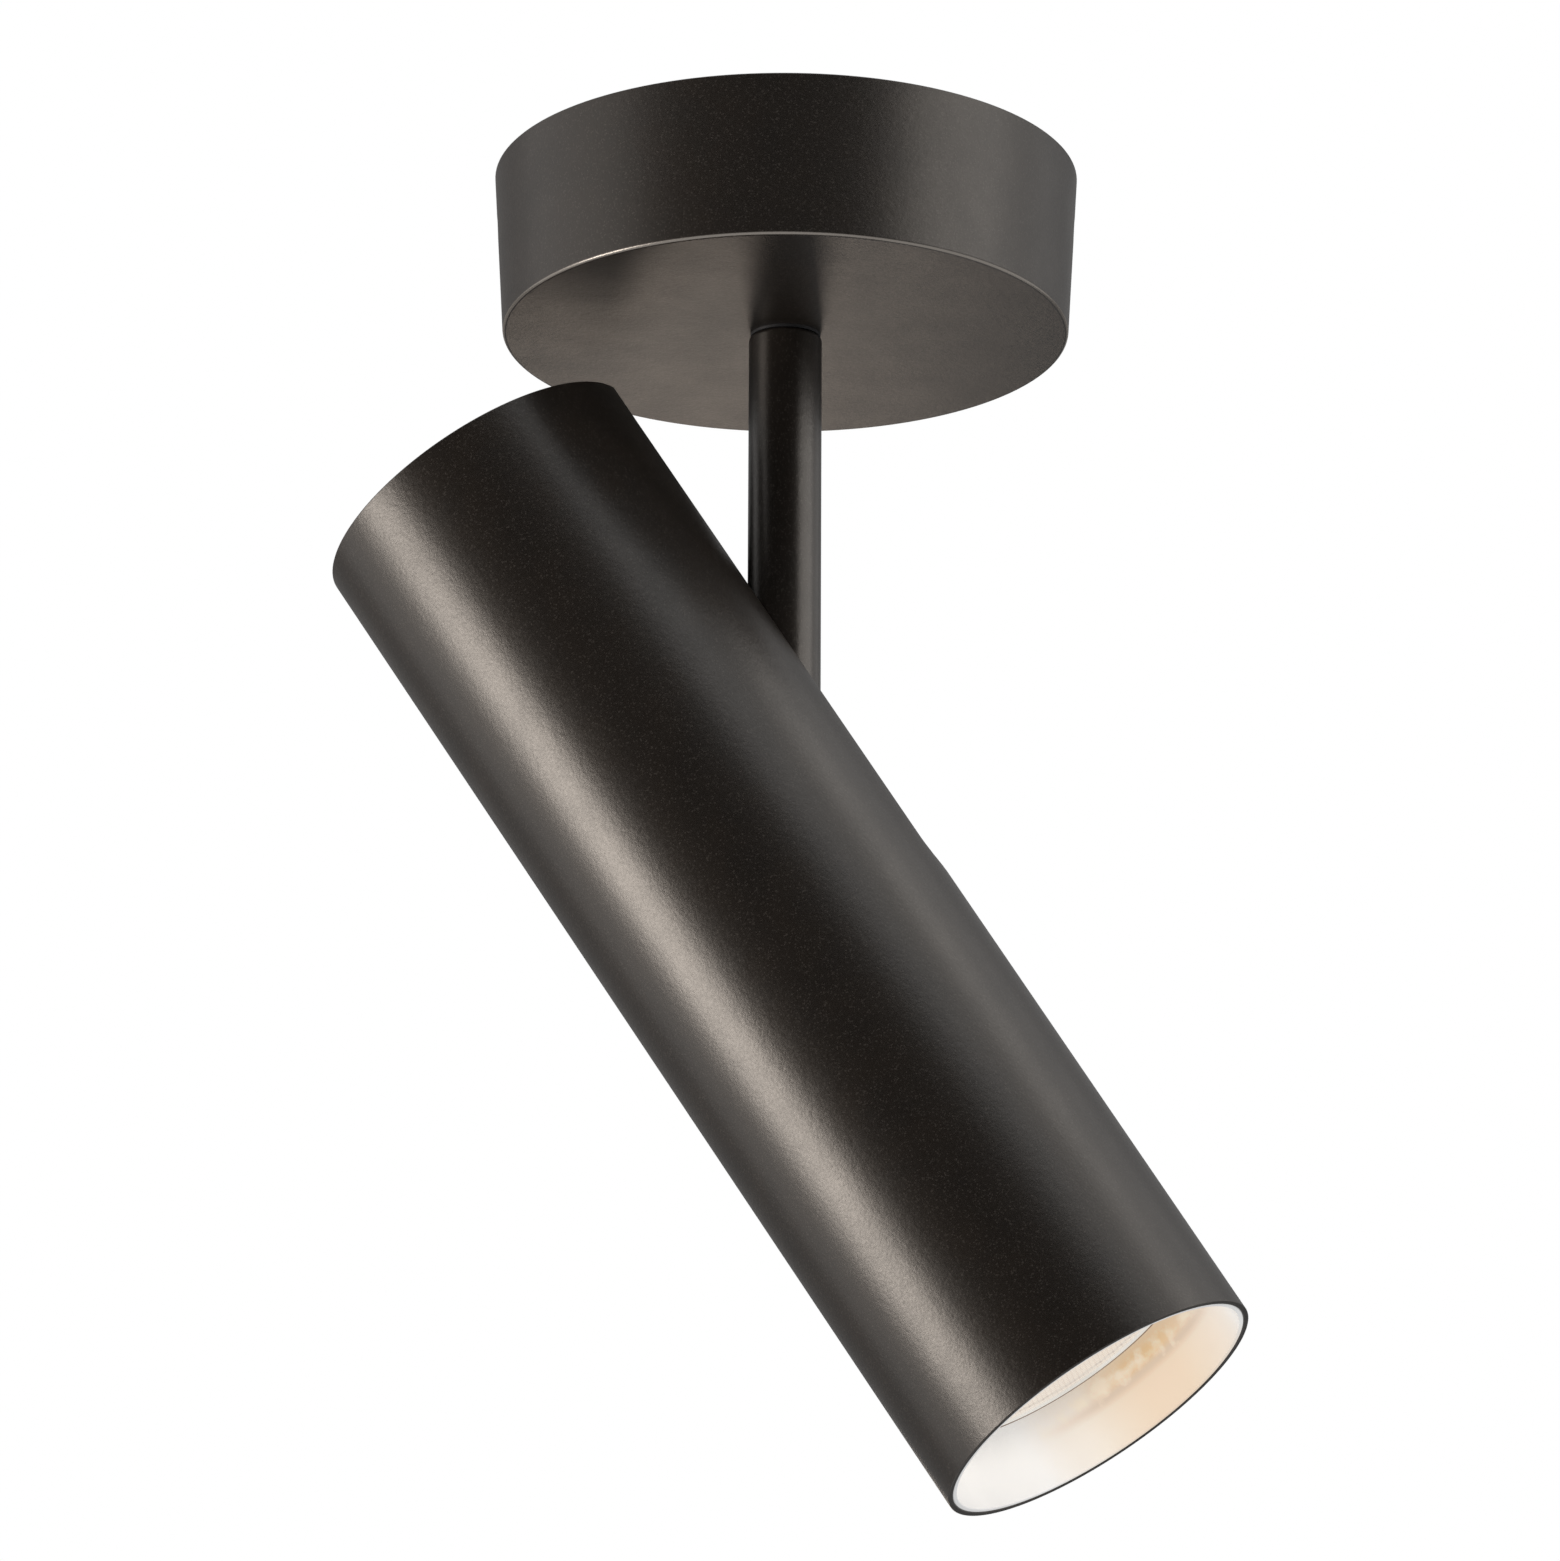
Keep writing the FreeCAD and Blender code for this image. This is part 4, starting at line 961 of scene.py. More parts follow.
@dataclass(frozen=True)
class Plating(Finish):
    """Bright plating with faint rolling lines along one axis and small dull patches."""

    metallic: float = 1.0
    patch: float = 2.5 * MM
    dulling: float = 0.12

    def detail(self, nodes: Nodes) -> None:
        """Dull the plating in small patches.

        Args:
            nodes: the material's nodes.
        """
        patch = nodes.noise(nodes.place(self.seat), self.patch, detail=4.0)
        dull = nodes.spread(patch, 0.0, self.dulling, 0.52, 0.7)
        nodes.feed("Roughness", nodes.sum("ADD", nodes.fed("Roughness"), dull, clamp=True))


@dataclass(frozen=True)
class Speckled(Finish):
    """Pressed ceramic: pale body with small darker specks and a sandy skin."""

    speck: float = 0.6 * MM
    speck_colour: Colour = (0.62, 0.58, 0.52)
    speck_share: float = 0.8

    def detail(self, nodes: Nodes) -> None:
        """Darken the few grains that stand above the rest.

        Args:
            nodes: the material's nodes.
        """
        specks = nodes.noise(nodes.place(self.seat), self.speck, detail=1.0)
        share = nodes.spread(specks, 0.0, self.speck_share, 0.66, 0.74)
        nodes.feed("Base Color",
                   nodes.mix(share, nodes.fed("Base Color"), self.speck_colour, "MULTIPLY"))


@dataclass(frozen=True)
class Striped(Finish):
    """Earth lead's sheath: yellow bands that wind round the green."""

    band: float = 7.04 * MM
    band_colour: Colour = linear(232, 208, 58)

    def detail(self, nodes: Nodes) -> None:
        """Lay the bands over the ground colour.

        Args:
            nodes: the material's nodes.
        """
        wave = nodes.add("ShaderNodeTexWave", Scale=1 / self.band, wave_type="BANDS",
                         bands_direction="DIAGONAL", Vector=nodes.place(self.seat))
        share = nodes.spread(wave.outputs["Fac"], 0.0, 1.0, 0.46, 0.54)
        nodes.feed("Base Color", nodes.mix(share, nodes.fed("Base Color"), self.band_colour))


@dataclass(frozen=True)
class LitLiner(Finish):
    """White liner with the lamp's light and shade painted on it: a warm wash, an amber patch and soft spots of
    painted light, a painted shadow band, painted dim shade at the mouth and a painted glow.

    The light's pattern lies round the lamp's axis: row is the spots' level, pitch, middle and
    first are directions in degrees, and away counts degrees from the middle of the lit side.
    """

    # The warm, pink, amber and spot colours are painted lamp light; shade is a painted shadow band and dim is
    # painted shade at the mouth.
    warm: Colour = (0.74, 0.62, 0.475)
    painted_light_blush: Colour = (0.74, 0.59, 0.465)
    painted_gold_light: Colour = (0.70, 0.51, 0.295)
    shade: Colour = (0.60, 0.49, 0.395)
    spot: Colour = (0.81, 0.705, 0.57)
    dim: Colour = (0.42, 0.42, 0.43)
    # Emission that paints the lamp's light onto the liner, which is no lamp.
    glow: float = 0.42
    bore: float = 28.17 * MM
    row: float = -89.7 * MM
    mouth: float = -99.8 * MM
    pitch: float = 8.6
    middle: float = 62.0
    first: float = 57.2
    cloud: float = 16 * MM
    ragged: float = 2.6 * MM

    def detail(self, nodes: Nodes) -> None:
        """Lay painted light and shade: the painted dim side, the warm wash, the amber patch, the painted shadow
        band and the spots of painted light.

        Args:
            nodes: the material's nodes.
        """
        place = nodes.place(self.seat)
        x, y, z = nodes.axes(place)
        degrees = nodes.sum("MULTIPLY", nodes.sum("ARCTAN2", y, x), 180 / math.pi)
        away = nodes.sum("ABSOLUTE", nodes.sum("SUBTRACT", degrees, self.middle))
        level = nodes.sum("SUBTRACT", z, self.row)

        def faded(strength: float, start: float, end: float, share: Socket) -> Socket:
            """A share that fades between two distances from the middle of the lit side."""
            return nodes.sum("MULTIPLY", nodes.spread(away, strength, 0.0, start, end), share)

        # Painted light: a warm wash on the lit side, a pink cloud in it and an amber patch beside the spots' row.
        painted_light_sweep = nodes.spread(away, 1.0, 0.0, 8.0, 54.0)
        cloud = nodes.spread(nodes.noise(place, self.cloud, detail=1.0), 0.0, 0.7)
        near = nodes.spread(nodes.sum("ABSOLUTE", level), 1.0, 0.0, 1.0 * MM, 3.4 * MM)
        below = nodes.sum("ABSOLUTE", nodes.sum("ADD", level, 2.0 * MM))
        step = nodes.sum("DIVIDE", nodes.sum("SUBTRACT", degrees, self.first), self.pitch)
        beside = nodes.sum("MULTIPLY", nodes.off_step(step), math.radians(self.pitch) * self.bore)
        ragged = nodes.spread(nodes.noise(place, self.ragged), -1.2 * MM, 1.0 * MM)
        reach = nodes.sum("ADD", nodes.far(beside, level), ragged)
        # Painted shade: darker at the mouth, away from the lit side.
        at_mouth = nodes.spread(z, 1.0, 0.0, self.mouth, self.mouth + 8 * MM)
        painted_dim_shade_share = nodes.sum("MULTIPLY", nodes.spread(away, 0.0, 0.45, 30.0, 100.0), at_mouth)
        # A painted shadow band just below the spots, and the spots of painted light.
        band = nodes.spread(below, 0.8, 0.0, 0.2 * MM, 1.6 * MM)
        spots = nodes.spread(reach, 1.0, 0.0, 0.5 * MM, 1.9 * MM)
        colour = nodes.fed("Base Color")
        for share, tint in ((painted_dim_shade_share, self.dim), (painted_light_sweep, self.warm),
                            (nodes.sum("MULTIPLY", painted_light_sweep, cloud), self.painted_light_blush),
                            (faded(1.0, 6.0, 28.0, near), self.painted_gold_light),
                            (faded(0.9, 22.0, 50.0, band), self.shade),
                            (faded(0.85, 24.0, 50.0, spots), self.spot)):
            colour = nodes.mix(share, colour, tint)
        nodes.feed("Base Color", colour)
        # The liner glows with its painted light, though it is no lamp.
        nodes.feed("Emission Color", colour)
        nodes.feed("Emission Strength", self.glow)


@dataclass(frozen=True)
class Rimmed(Finish):
    """Lamp white whose front ring glows with painted light from its lens and has a thin brown edge line."""

    radius: float = 23.85 * MM
    level: float = -86.4 * MM
    line: Colour = linear(104, 78, 58)
    line_share: float = 0.9
    # Emission that paints the lens's light onto the ring, which is no lamp.
    glow: float = 0.30

    def detail(self, nodes: Nodes) -> None:
        """Lay the line outside a radius of the ring, and let the ring glow with painted light.

        Args:
            nodes: the material's nodes.
        """
        x, y, z = nodes.axes(nodes.place(self.seat))
        edge = nodes.spread(nodes.far(x, y), 0.0, self.line_share, self.radius,
                            self.radius + 0.1 * MM)
        front = nodes.spread(z, 1.0, 0.0, self.level - 0.3 * MM, self.level)
        line = nodes.mix(nodes.sum("MULTIPLY", edge, front), nodes.fed("Base Color"), self.line)
        nodes.feed("Base Color", line)
        # Painted light: the front ring glows and the rest of the shell does not.
        behind = nodes.spread(front, 1.0, 0.0, 0.0, 1.0)
        nodes.feed("Emission Color", nodes.mix(behind, line, (0.0, 0.0, 0.0)))
        nodes.feed("Emission Strength", self.glow)


@dataclass(frozen=True)
class LitLens(Finish):
    """Clear front of the lit lamp: small lenses, brighter in front of each emitter."""

    pitch: float = 0.9 * MM
    relief: float = 0.10 * MM
    seam: Colour = linear(116, 108, 104)
    lit: Colour = (0.86, 0.77, 0.66)
    lit_seam: Colour = (0.62, 0.52, 0.45)
    edge: Colour = (0.50, 0.45, 0.40)
    core: Colour = (1.15, 1.10, 1.00)
    glow: float = 0.75
    circle: float = 11.0 * MM
    count: int = 6
    pool: float = 6.5 * MM

    def detail(self, nodes: Nodes) -> None:
        """Add the small lenses' domes, the joints between them and the light behind them.

        Args:
            nodes: the material's nodes.
        """
        place = nodes.place(self.seat)
        cells = nodes.add("ShaderNodeTexVoronoi", voronoi_dimensions="2D", Scale=1 / self.pitch,
                          Randomness=0.0, Vector=place).outputs["Distance"]
        dome = nodes.spread(cells, 1.0, 0.0, 0.0, 0.7)
        nodes.feed("Normal", nodes.raised(dome, self.relief))
        seam = nodes.spread(cells, 0.0, 0.8, 0.38, 0.62)
        nodes.feed("Base Color", nodes.mix(seam, nodes.fed("Base Color"), self.seam))
        near = self.from_emitter(nodes, place)
        light = nodes.mix(seam, self.lit, self.lit_seam)
        light = nodes.mix(nodes.spread(near, 0.0, 0.3, 0.0, self.pool), light, self.edge)
        light = nodes.mix(nodes.spread(near, 1.0, 0.0, 0.0, 0.4 * self.pool), light, self.core)
        nodes.feed("Emission Color", light)
        nodes.feed("Emission Strength", self.glow)

    def from_emitter(self, nodes: Nodes, place: Socket) -> Socket:
        """Measure how far the nearest emitter is: one in the middle, the others on a circle.

        Args:
            nodes: the material's nodes.
            place: the point, in the head's axes.

        Returns:
            The distance, seen along the lamp's axis.
        """
        x, y, _ = nodes.axes(place)
        share = 2 * math.pi / self.count
        off = nodes.off_step(nodes.sum("DIVIDE", nodes.sum("ARCTAN2", y, x), share))
        reach = nodes.far(x, y)
        beside = nodes.sum("MULTIPLY", off, share * self.circle)
        out = nodes.sum("SUBTRACT", reach, self.circle)
        return nodes.sum("MINIMUM", nodes.far(beside, out), reach)


@dataclass(frozen=True)
class LitEmitter(Finish):
    """Phosphor of a lit emitter."""

    cool: Colour = linear(255, 232, 184)
    warm: Colour = linear(255, 214, 150)
    glow: float = 2.2

    def detail(self, nodes: Nodes) -> None:
        """Let the phosphor glow, a little uneven.

        Args:
            nodes: the material's nodes.
        """
        grain = nodes.noise(nodes.place(self.seat), 0.3 * MM, detail=1.0)
        nodes.feed("Emission Color", nodes.mix(nodes.spread(grain, 0, 1), self.warm, self.cool))
        nodes.feed("Emission Strength", self.glow)


COAT = SatinCoat("satin_coat", seat=HEAD)
STEM_COAT = SatinCoat("stem_coat", gloss=(0.28, 0.35), depth=0.016 * MM, seat=STEM)
CUP_COAT = EdgedCoat("cup_coat", gloss=(0.35, 0.42))
BLACKENED = Finish("blackened_steel", "black_screw", linear(38, 37, 37), linear(24, 24, 25),
                   (0.30, 0.48), grain=0.2 * MM, metallic=0.6)
SHEET_ZINC = Plating("plated_sheet", "zinc_steel", linear(198, 202, 206), linear(184, 190, 196),
                     (0.22, 0.36), grain=0.3 * MM, depth=0.003 * MM, stretch=(0.06, 1.0, 1.0))
TURNED_ZINC = Plating("plated_turnings", "bright_steel", linear(206, 210, 214),
                      linear(190, 196, 204), (0.16, 0.30), grain=0.15 * MM, depth=0.002 * MM)
CAST_ZINC = Finish("die_casting", "cast_zinc", linear(150, 152, 156), linear(128, 131, 137),
                   (0.42, 0.58), grain=0.5 * MM, depth=0.014 * MM, metallic=1.0)
BRASS = Plating("turned_brass", "brass", linear(214, 178, 104), linear(196, 156, 82),
                (0.20, 0.36), grain=0.15 * MM, depth=0.002 * MM)
BLACK_NYLON = Finish("black_nylon", "black_nylon", linear(34, 34, 36), linear(26, 26, 28),
                     (0.48, 0.62), grain=0.3 * MM, depth=0.006 * MM)
WHITE_NYLON = Finish("white_nylon", "white_nylon", linear(226, 224, 216), linear(214, 212, 202),
                     (0.38, 0.52), grain=0.4 * MM, depth=0.006 * MM)
LINER = LitLiner("white_liner", "white_liner", linear(228, 228, 227), linear(222, 222, 221),
                 (0.50, 0.62), grain=0.25 * MM, seat=HEAD)
RUBBER = Finish("soft_rubber", "grey_rubber", linear(86, 86, 88), linear(70, 70, 73),
                (0.60, 0.78), grain=0.25 * MM, depth=0.010 * MM)
SHEATH = Finish("silicone_sheath", "lead_sheath", linear(222, 216, 204), linear(206, 200, 188),
                (0.40, 0.55), grain=0.2 * MM)
CERAMIC = Speckled("pressed_ceramic", "steatite", linear(226, 220, 206), linear(214, 206, 190),
                   (0.55, 0.70), depth=0.020 * MM, seat=HEAD)
LAMP_WHITE = Finish("lamp_white", "lamp_white", linear(232, 231, 227), linear(224, 223, 218),
                    (0.22, 0.34), grain=0.3 * MM, seat=HEAD)
SHELL_WHITE = Rimmed("shell_white", "lamp_white", linear(232, 231, 227), linear(224, 223, 218),
                     (0.45, 0.60), specular=0.25, grain=0.3 * MM, seat=HEAD)
LENS = LitLens("ribbed_lens", "lamp_lens", linear(137, 133, 128), linear(131, 126, 122),
               (0.16, 0.26), grain=0.4 * MM, seat=HEAD)
BOARD = Finish("white_board", "lamp_board", linear(232, 232, 228), linear(222, 222, 216),
               (0.42, 0.55), grain=0.3 * MM, depth=0.003 * MM, seat=HEAD)
EMITTER = LitEmitter("lit_emitter", "lamp_emitter", linear(255, 222, 140), linear(250, 208, 112),
                     (0.30, 0.42), grain=0.2 * MM, depth=0.003 * MM, seat=HEAD)
NICKEL = Plating("nickel_pin", "pin_metal", linear(206, 200, 190), linear(190, 184, 174),
                 (0.16, 0.30), grain=0.12 * MM, depth=0.002 * MM, seat=HEAD)
LOCK_RING = Finish("lock_ring_nylon", "bright_steel", linear(70, 112, 178), linear(62, 100, 164),
                   (0.34, 0.46), grain=0.2 * MM, depth=0.003 * MM)
SPRING_STEEL = Plating("spring_steel", "bright_steel", linear(120, 122, 128),
                       linear(98, 100, 108), (0.24, 0.36), grain=0.15 * MM, depth=0.002 * MM)
LEADS = {
    "earth": Striped("striped_sheath", "lead_sheath", linear(70, 142, 62), linear(62, 130, 56),
                     (0.38, 0.52), grain=0.2 * MM),
    "brown": Finish("brown_sheath", "lead_sheath", linear(112, 66, 38), linear(98, 56, 32),
                    (0.38, 0.52), grain=0.2 * MM),
    "blue": Finish("blue_sheath", "lead_sheath", linear(52, 104, 168), linear(44, 92, 152),
                   (0.38, 0.52), grain=0.2 * MM),
}
FINISHES = (COAT, BLACKENED, SHEET_ZINC, TURNED_ZINC, CAST_ZINC, BRASS, BLACK_NYLON, WHITE_NYLON,
            LINER, RUBBER, SHEATH, CERAMIC, LAMP_WHITE, LENS, BOARD, EMITTER, NICKEL)
NODE_FINISHES = {"canopy_cup": CUP_COAT, "stem_tube": STEM_COAT}


# --- sub-assemblies -------------------------------------------------------------------------


class Paintbox:
    """Makes each finish's material once and hands it out again."""

    made: dict[str, bpy.types.Material] = {}

    @classmethod
    def of(cls, finish: Finish) -> bpy.types.Material:
        """Hand out a finish's material.

        Args:
            finish: the finish.

        Returns:
            Its one material.
        """
        if finish.name not in cls.made:
            cls.made[finish.name] = finish.material()
        return cls.made[finish.name]


@dataclass
class SubAssembly:
    """A body of the frame whose pieces are modelled one after another."""

    body: str = ""
    seat: Seat = ORIGIN

    def span(self, node: str) -> tuple[float, float, float]:
        """A node's lowest level, its highest level and its radius in the sub-assembly's axes."""
        size = extent(node, self.seat)
        return size.low.z, size.high.z, size.radius

    def fit(self, piece: Piece, finish: Finish, node: str, seat: Optional[Seat] = None,
            smooth: float = 35.0) -> None:
        """Place, shade, dress and hand over a finished piece.

        Args:
            piece: the piece, as it was made on the Z axis.
            finish: its finish.
            node: the frame's node that it stands for.
            seat: the axes that it goes into, if they aren't the sub-assembly's own.
            smooth: faces that meet at less than this angle are shaded as one, in degrees.
        """
        moved(piece, seat or self.seat)
        bpy.ops.object.shade_smooth_by_angle(angle=math.radians(smooth))
        apply(piece, "WEIGHTED_NORMAL", keep_sharp=True)
        piece.data.materials.clear()
        piece.data.materials.append(Paintbox.of(finish))
        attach(piece, self.body)
        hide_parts(node)
        log.info("%-22s %-14s %6d faces", piece.name, self.body, len(piece.data.polygons))


@dataclass
class CeilingSide(SubAssembly):
    """The cup with the strap, terminals and bush behind it."""

    body: str = "ceiling_mount"
    cup_wall: float = 1.0 * MM
    cup_foot_radius: float = 49.3 * MM
    edge_radius: float = 0.7 * MM
    inner_edge_radius: float = 0.5 * MM
    rim: float = 0.15 * MM
    hole_radius: float = 5.9 * MM
    hole_start: float = 12.0 * MM
    key: tuple[float, float] = (1.03 * MM, 6.23 * MM)
    side_hole: tuple[float, float] = (2.12 * MM, -9.0 * MM)
    strap_thickness: float = 1.5 * MM
    ear_half_width: float = 8.0 * MM
    ear_bend: float = 1.3 * MM
    cable_hole: float = 8.0 * MM
    slot_place: float = 34.0 * MM
    slot_run: float = 4.75 * MM
    slot_half_width: float = 2.25 * MM
    block_place: float = -19.0 * MM
    block_half_depth: float = 7.0 * MM
    block_pitch: float = 9.0 * MM
    tower_height: float = 3.2 * MM
    tower_half: tuple[float, float] = (2.6 * MM, 3.7 * MM)
    entry_hole: float = 1.3 * MM
    lead_level: float = -7.0 * MM
    clamp_spread: float = 3.2 * MM
    earth_place: float = 19.0 * MM

    def build(self) -> None:
        """Model every piece of the ceiling side."""
        self.cup()
        self.strap()
        self.bush()
        self.terminals()
        self.screws()
        self.leads()

    def cup(self) -> None:
        """Tapered cup, drawn from sheet, with its centre hole and two side holes."""
        low, _, top_radius = self.span("canopy_cup")
        wall, rim = self.cup_wall, self.rim
        foot, floor = self.cup_foot_radius, low + wall
        slope = (top_radius - foot) / -low
        lean = math.degrees(math.atan2(top_radius - foot, -low))

        def bend(radius: float, level: float, bent: float) -> Spot:
            """The centre of a rounding between a wall's foot and a level."""
            return radius + slope * bent - bent / math.cos(math.radians(lean)), level + bent

        edge, inner_edge = self.edge_radius, self.inner_edge_radius
        outer = arc(bend(foot, low, edge), edge, 270, 360 - lean, 6)
        inner = arc(bend(foot - wall, floor, inner_edge), inner_edge, 360 - lean, 270)
        hole, level = self.side_hole
        levels = [level + 1.5 * hole, level - 1.5 * hole]
        cup = turned("cup_shell", [
            (self.hole_start, low), *outer,
            *[(top_radius + slope * step, step) for step in reversed(levels)],
            (top_radius, -rim), (top_radius - rim, 0), (top_radius - wall + rim, 0),
            (top_radius - wall, -rim),
            *[(top_radius - wall + slope * step, step) for step in levels],
            *inner, (self.hole_start, floor)], sides=160, solid=True)
        key_half, key_reach = self.key
        keyway = block("keyway", (-key_half, 0, low - MM), (key_half, key_reach, floor + MM))
        cut(cup, drill(self.hole_radius, low - MM, floor + MM, sides=64), keyway,
            bar(hole, 2 * top_radius, Axis.PLUS_X, level, sides=32))
        soften(cup, 0.15 * MM)
        self.fit(cup, CUP_COAT, "canopy_cup")

    def strap(self) -> None:
        """Punched strap with its two ears bent down."""
        size = extent("ceiling_bracket", ORIGIN)
        reach, half, foot, thick = size.high.x, size.high.y, size.low.z, self.strap_thickness
        ear, inset, under, over = self.ear_half_width, 0.3 * MM, -3 * MM, MM
        strap = block("punched_strap", (-reach, -ear, foot), (reach, ear, 0))
        take(strap)
        bpy.ops.object.mode_set(mode="EDIT")
        bpy.ops.mesh.select_mode(type="EDGE")
        bpy.ops.mesh.select_all(action="DESELECT")
        bpy.ops.object.mode_set(mode="OBJECT")
        corners = strap.data.vertices
        for edge in strap.data.edges:
            ends = [corners[i].co for i in edge.vertices]
            edge.select = min(ends[0].z, ends[1].z) > -MM and abs(ends[0].x - ends[1].x) < MM
        bpy.ops.object.mode_set(mode="EDIT")
        bpy.ops.mesh.bevel(offset=self.ear_bend, segments=5)
        bpy.ops.object.mode_set(mode="OBJECT")
        inside = block("inside", (thick - reach, -2 * ear, 2 * foot), (reach - thick, 2 * ear, -thick))
        cut(strap, soften(inside, 0.4 * MM, steps=3))
        weld(strap, block("plate", (inset - reach, -half, -thick), (reach - inset, half, 0)))
        cut(strap, drill(self.cable_hole, under, over, sides=56),
            *[long_hole(self.slot_half_width, self.slot_run, under, over, sign * self.slot_place)
              for sign in BOTH_SIDES],
            drill(M4_HOLE, under, over, self.earth_place),
            drill(M3_HOLE, under, over, self.block_place, self.block_pitch / 2),
            bar(M4_HOLE, 60 * MM, Axis.PLUS_X, self.side_hole[1], sides=32))
        soften(strap, 0.15 * MM)
        self.fit(strap, SHEET_ZINC, "ceiling_bracket")

    def bush(self) -> None:
        """Moulded bush with a flange, a key and the stop lug."""
        low, high, flange = self.span("swivel_bush")
        bore, r = 5.07 * MM, 5.87 * MM
        floor, top = low + self.cup_wall, low + self.cup_wall + 1.2 * MM
        bush = turned("moulded_bush", [(bore, low), (r, low), (r, floor), (flange, floor),
                                       (flange, top), (bore, top)])
        key = block("key", (-1.0 * MM, bore + 0.4 * MM, low), (1.0 * MM, 6.17 * MM, floor))
        lug = block("lug", (-10.5 * MM, -0.9 * MM, top - 0.4 * MM), (-8.5 * MM, 0.9 * MM, high))
        soften(weld(bush, key, lug), 0.15 * MM)
        self.fit(bush, BLACK_NYLON, "swivel_bush")

    def ways(self) -> list[float]:
        """Where the connector's three ways lie across the strap."""
        return [-self.block_pitch, 0.0, self.block_pitch]

    def clamps(self) -> list[Spot]:
        """Where the connector's clamp screws stand."""
        return [(self.block_place + side * self.clamp_spread, way)
                for way in self.ways() for side in BOTH_SIDES]

    def terminals(self) -> None:
        """Connector with a tower and two wells for each way, and its clamp screws."""
        size = extent("terminal_block", ORIGIN)
        low, high, under = size.low, size.high, size.low.z - MM
        shoulder = low.z + self.tower_height
        long, wide = self.tower_half
        base = block("three_way_connector", (low.x, low.y, shoulder), (high.x, high.y, high.z))
        weld(base, *[block("tower", (x - long, way - wide, low.z), (x + long, way + wide, shoulder + MM))
                     for x, way in self.clamps()])
        tools = []
        funnel = mm((1.0, -1.5), (1.1, -1.4), (2.3, 0.05), (2.3, 1))
        for way in self.ways():
            seat = ORIGIN.beside(0, way, self.lead_level)
            entry = cylinder("entry", self.entry_hole, -40 * MM, 0, sides=28)
            tools.append(moved(entry, seat.tipped(Axis.PLUS_X)))
            for side, axis in zip(BOTH_SIDES, (Axis.PLUS_X, Axis.MINUS_X)):
                mouth = seat.beside(self.block_place + side * self.block_half_depth, 0, 0)
                tools.append(moved(turned("funnel", funnel, sides=28, solid=True), mouth.tipped(axis)))
                tools.append(drill(M3_HOLE, under, self.lead_level,
                                   self.block_place + side * self.clamp_spread, way))
        own = self.block_place, self.block_pitch / 2
        tools.append(drill(M3_HOLE, under, MM, *own))
        tools.append(drill(M3_HOLE + MM, under, low.z + 3 * MM, *own, sides=36))
        cut(base, *tools)
        soften(base, 0.25 * MM)
        self.fit(base, WHITE_NYLON, "terminal_block")
        clamp = Screw(1.5 * MM, 4.0 * MM, Recess.SLOT, 2.0 * MM, 0.9 * MM).build("clamp_screws")
        foot, _, _ = self.span("terminal_screws")
        places = [
            Matrix.Translation((x, way, foot)) @ Matrix.Rotation(math.pi, 4, "X")
            @ Matrix.Rotation(0.6 * way / MM + (1 if x > self.block_place else -1), 4, "Z")
            for x, way in self.clamps()]
        self.fit(copies(clamp, places), BRASS, "terminal_screws")

    def screws(self) -> None:
        """Set screws of the cup, the connector's own screw and the earth screw."""
        r = extent("canopy_screws", ORIGIN).high.x
        grub = Screw(2.0 * MM, 8.0 * MM, Recess.HEX, 2.0 * MM, 2.6 * MM, pitch=0.7 * MM)
        grub = moved(grub.build("cup_grub_screws"),
                     ORIGIN.beside(r, 0, self.side_hole[1]).tipped(Axis.PLUS_X))
        self.fit(copies(grub, round_axis(2)), BLACKENED, "canopy_screws")
        head_level = self.span("block_screw")[0] + 2.0 * MM
        own = Screw(1.5 * MM, -head_level, Recess.CROSS, 2.6 * MM, 1.2 * MM,
                    head=2.5 * MM, height=2.0 * MM, dome=0.9 * MM)
        place = ORIGIN.beside(self.block_place, self.block_pitch / 2, head_level)
        self.fit(own.build("connector_screw"), TURNED_ZINC, "block_screw", place.tipped(Axis.MINUS_Z))
        earth = Screw(2.0 * MM, self.strap_thickness, Recess.CROSS, 3.6 * MM, 1.6 * MM,
                      pitch=0.7 * MM, head=4.0 * MM, height=2.6 * MM, dome=1.0 * MM)
        place = ORIGIN.beside(self.earth_place, 0, -self.strap_thickness)
        self.fit(earth.build("earth_clamp_screw"), BRASS, "earth_screw", place.tipped(Axis.MINUS_Z))

    def leads(self) -> None:
        """Three leads from the connector to just above the stem's leads."""
        end, above_stem, low, level, bend, entry = -15.8, -12, -7.6, -7, -9.4, -19
        for colour, way in (("earth", 0), ("brown", 1), ("blue", -1)):
            x, y, _ = STEM.turn @ Vector((*LEAD_OFFSETS[colour], 0))
            side = way * 9.0
            wire = lead(colour + "_supply_lead", (x, y, end), (x, y, above_stem), (x, y, low),
                        (x - 3.2, y + 0.3 * (side - y), level), (bend, side, level),
                        (-13, side, level), (entry, side, level))
            self.fit(wire, LEADS[colour], "supply_leads", smooth=60)


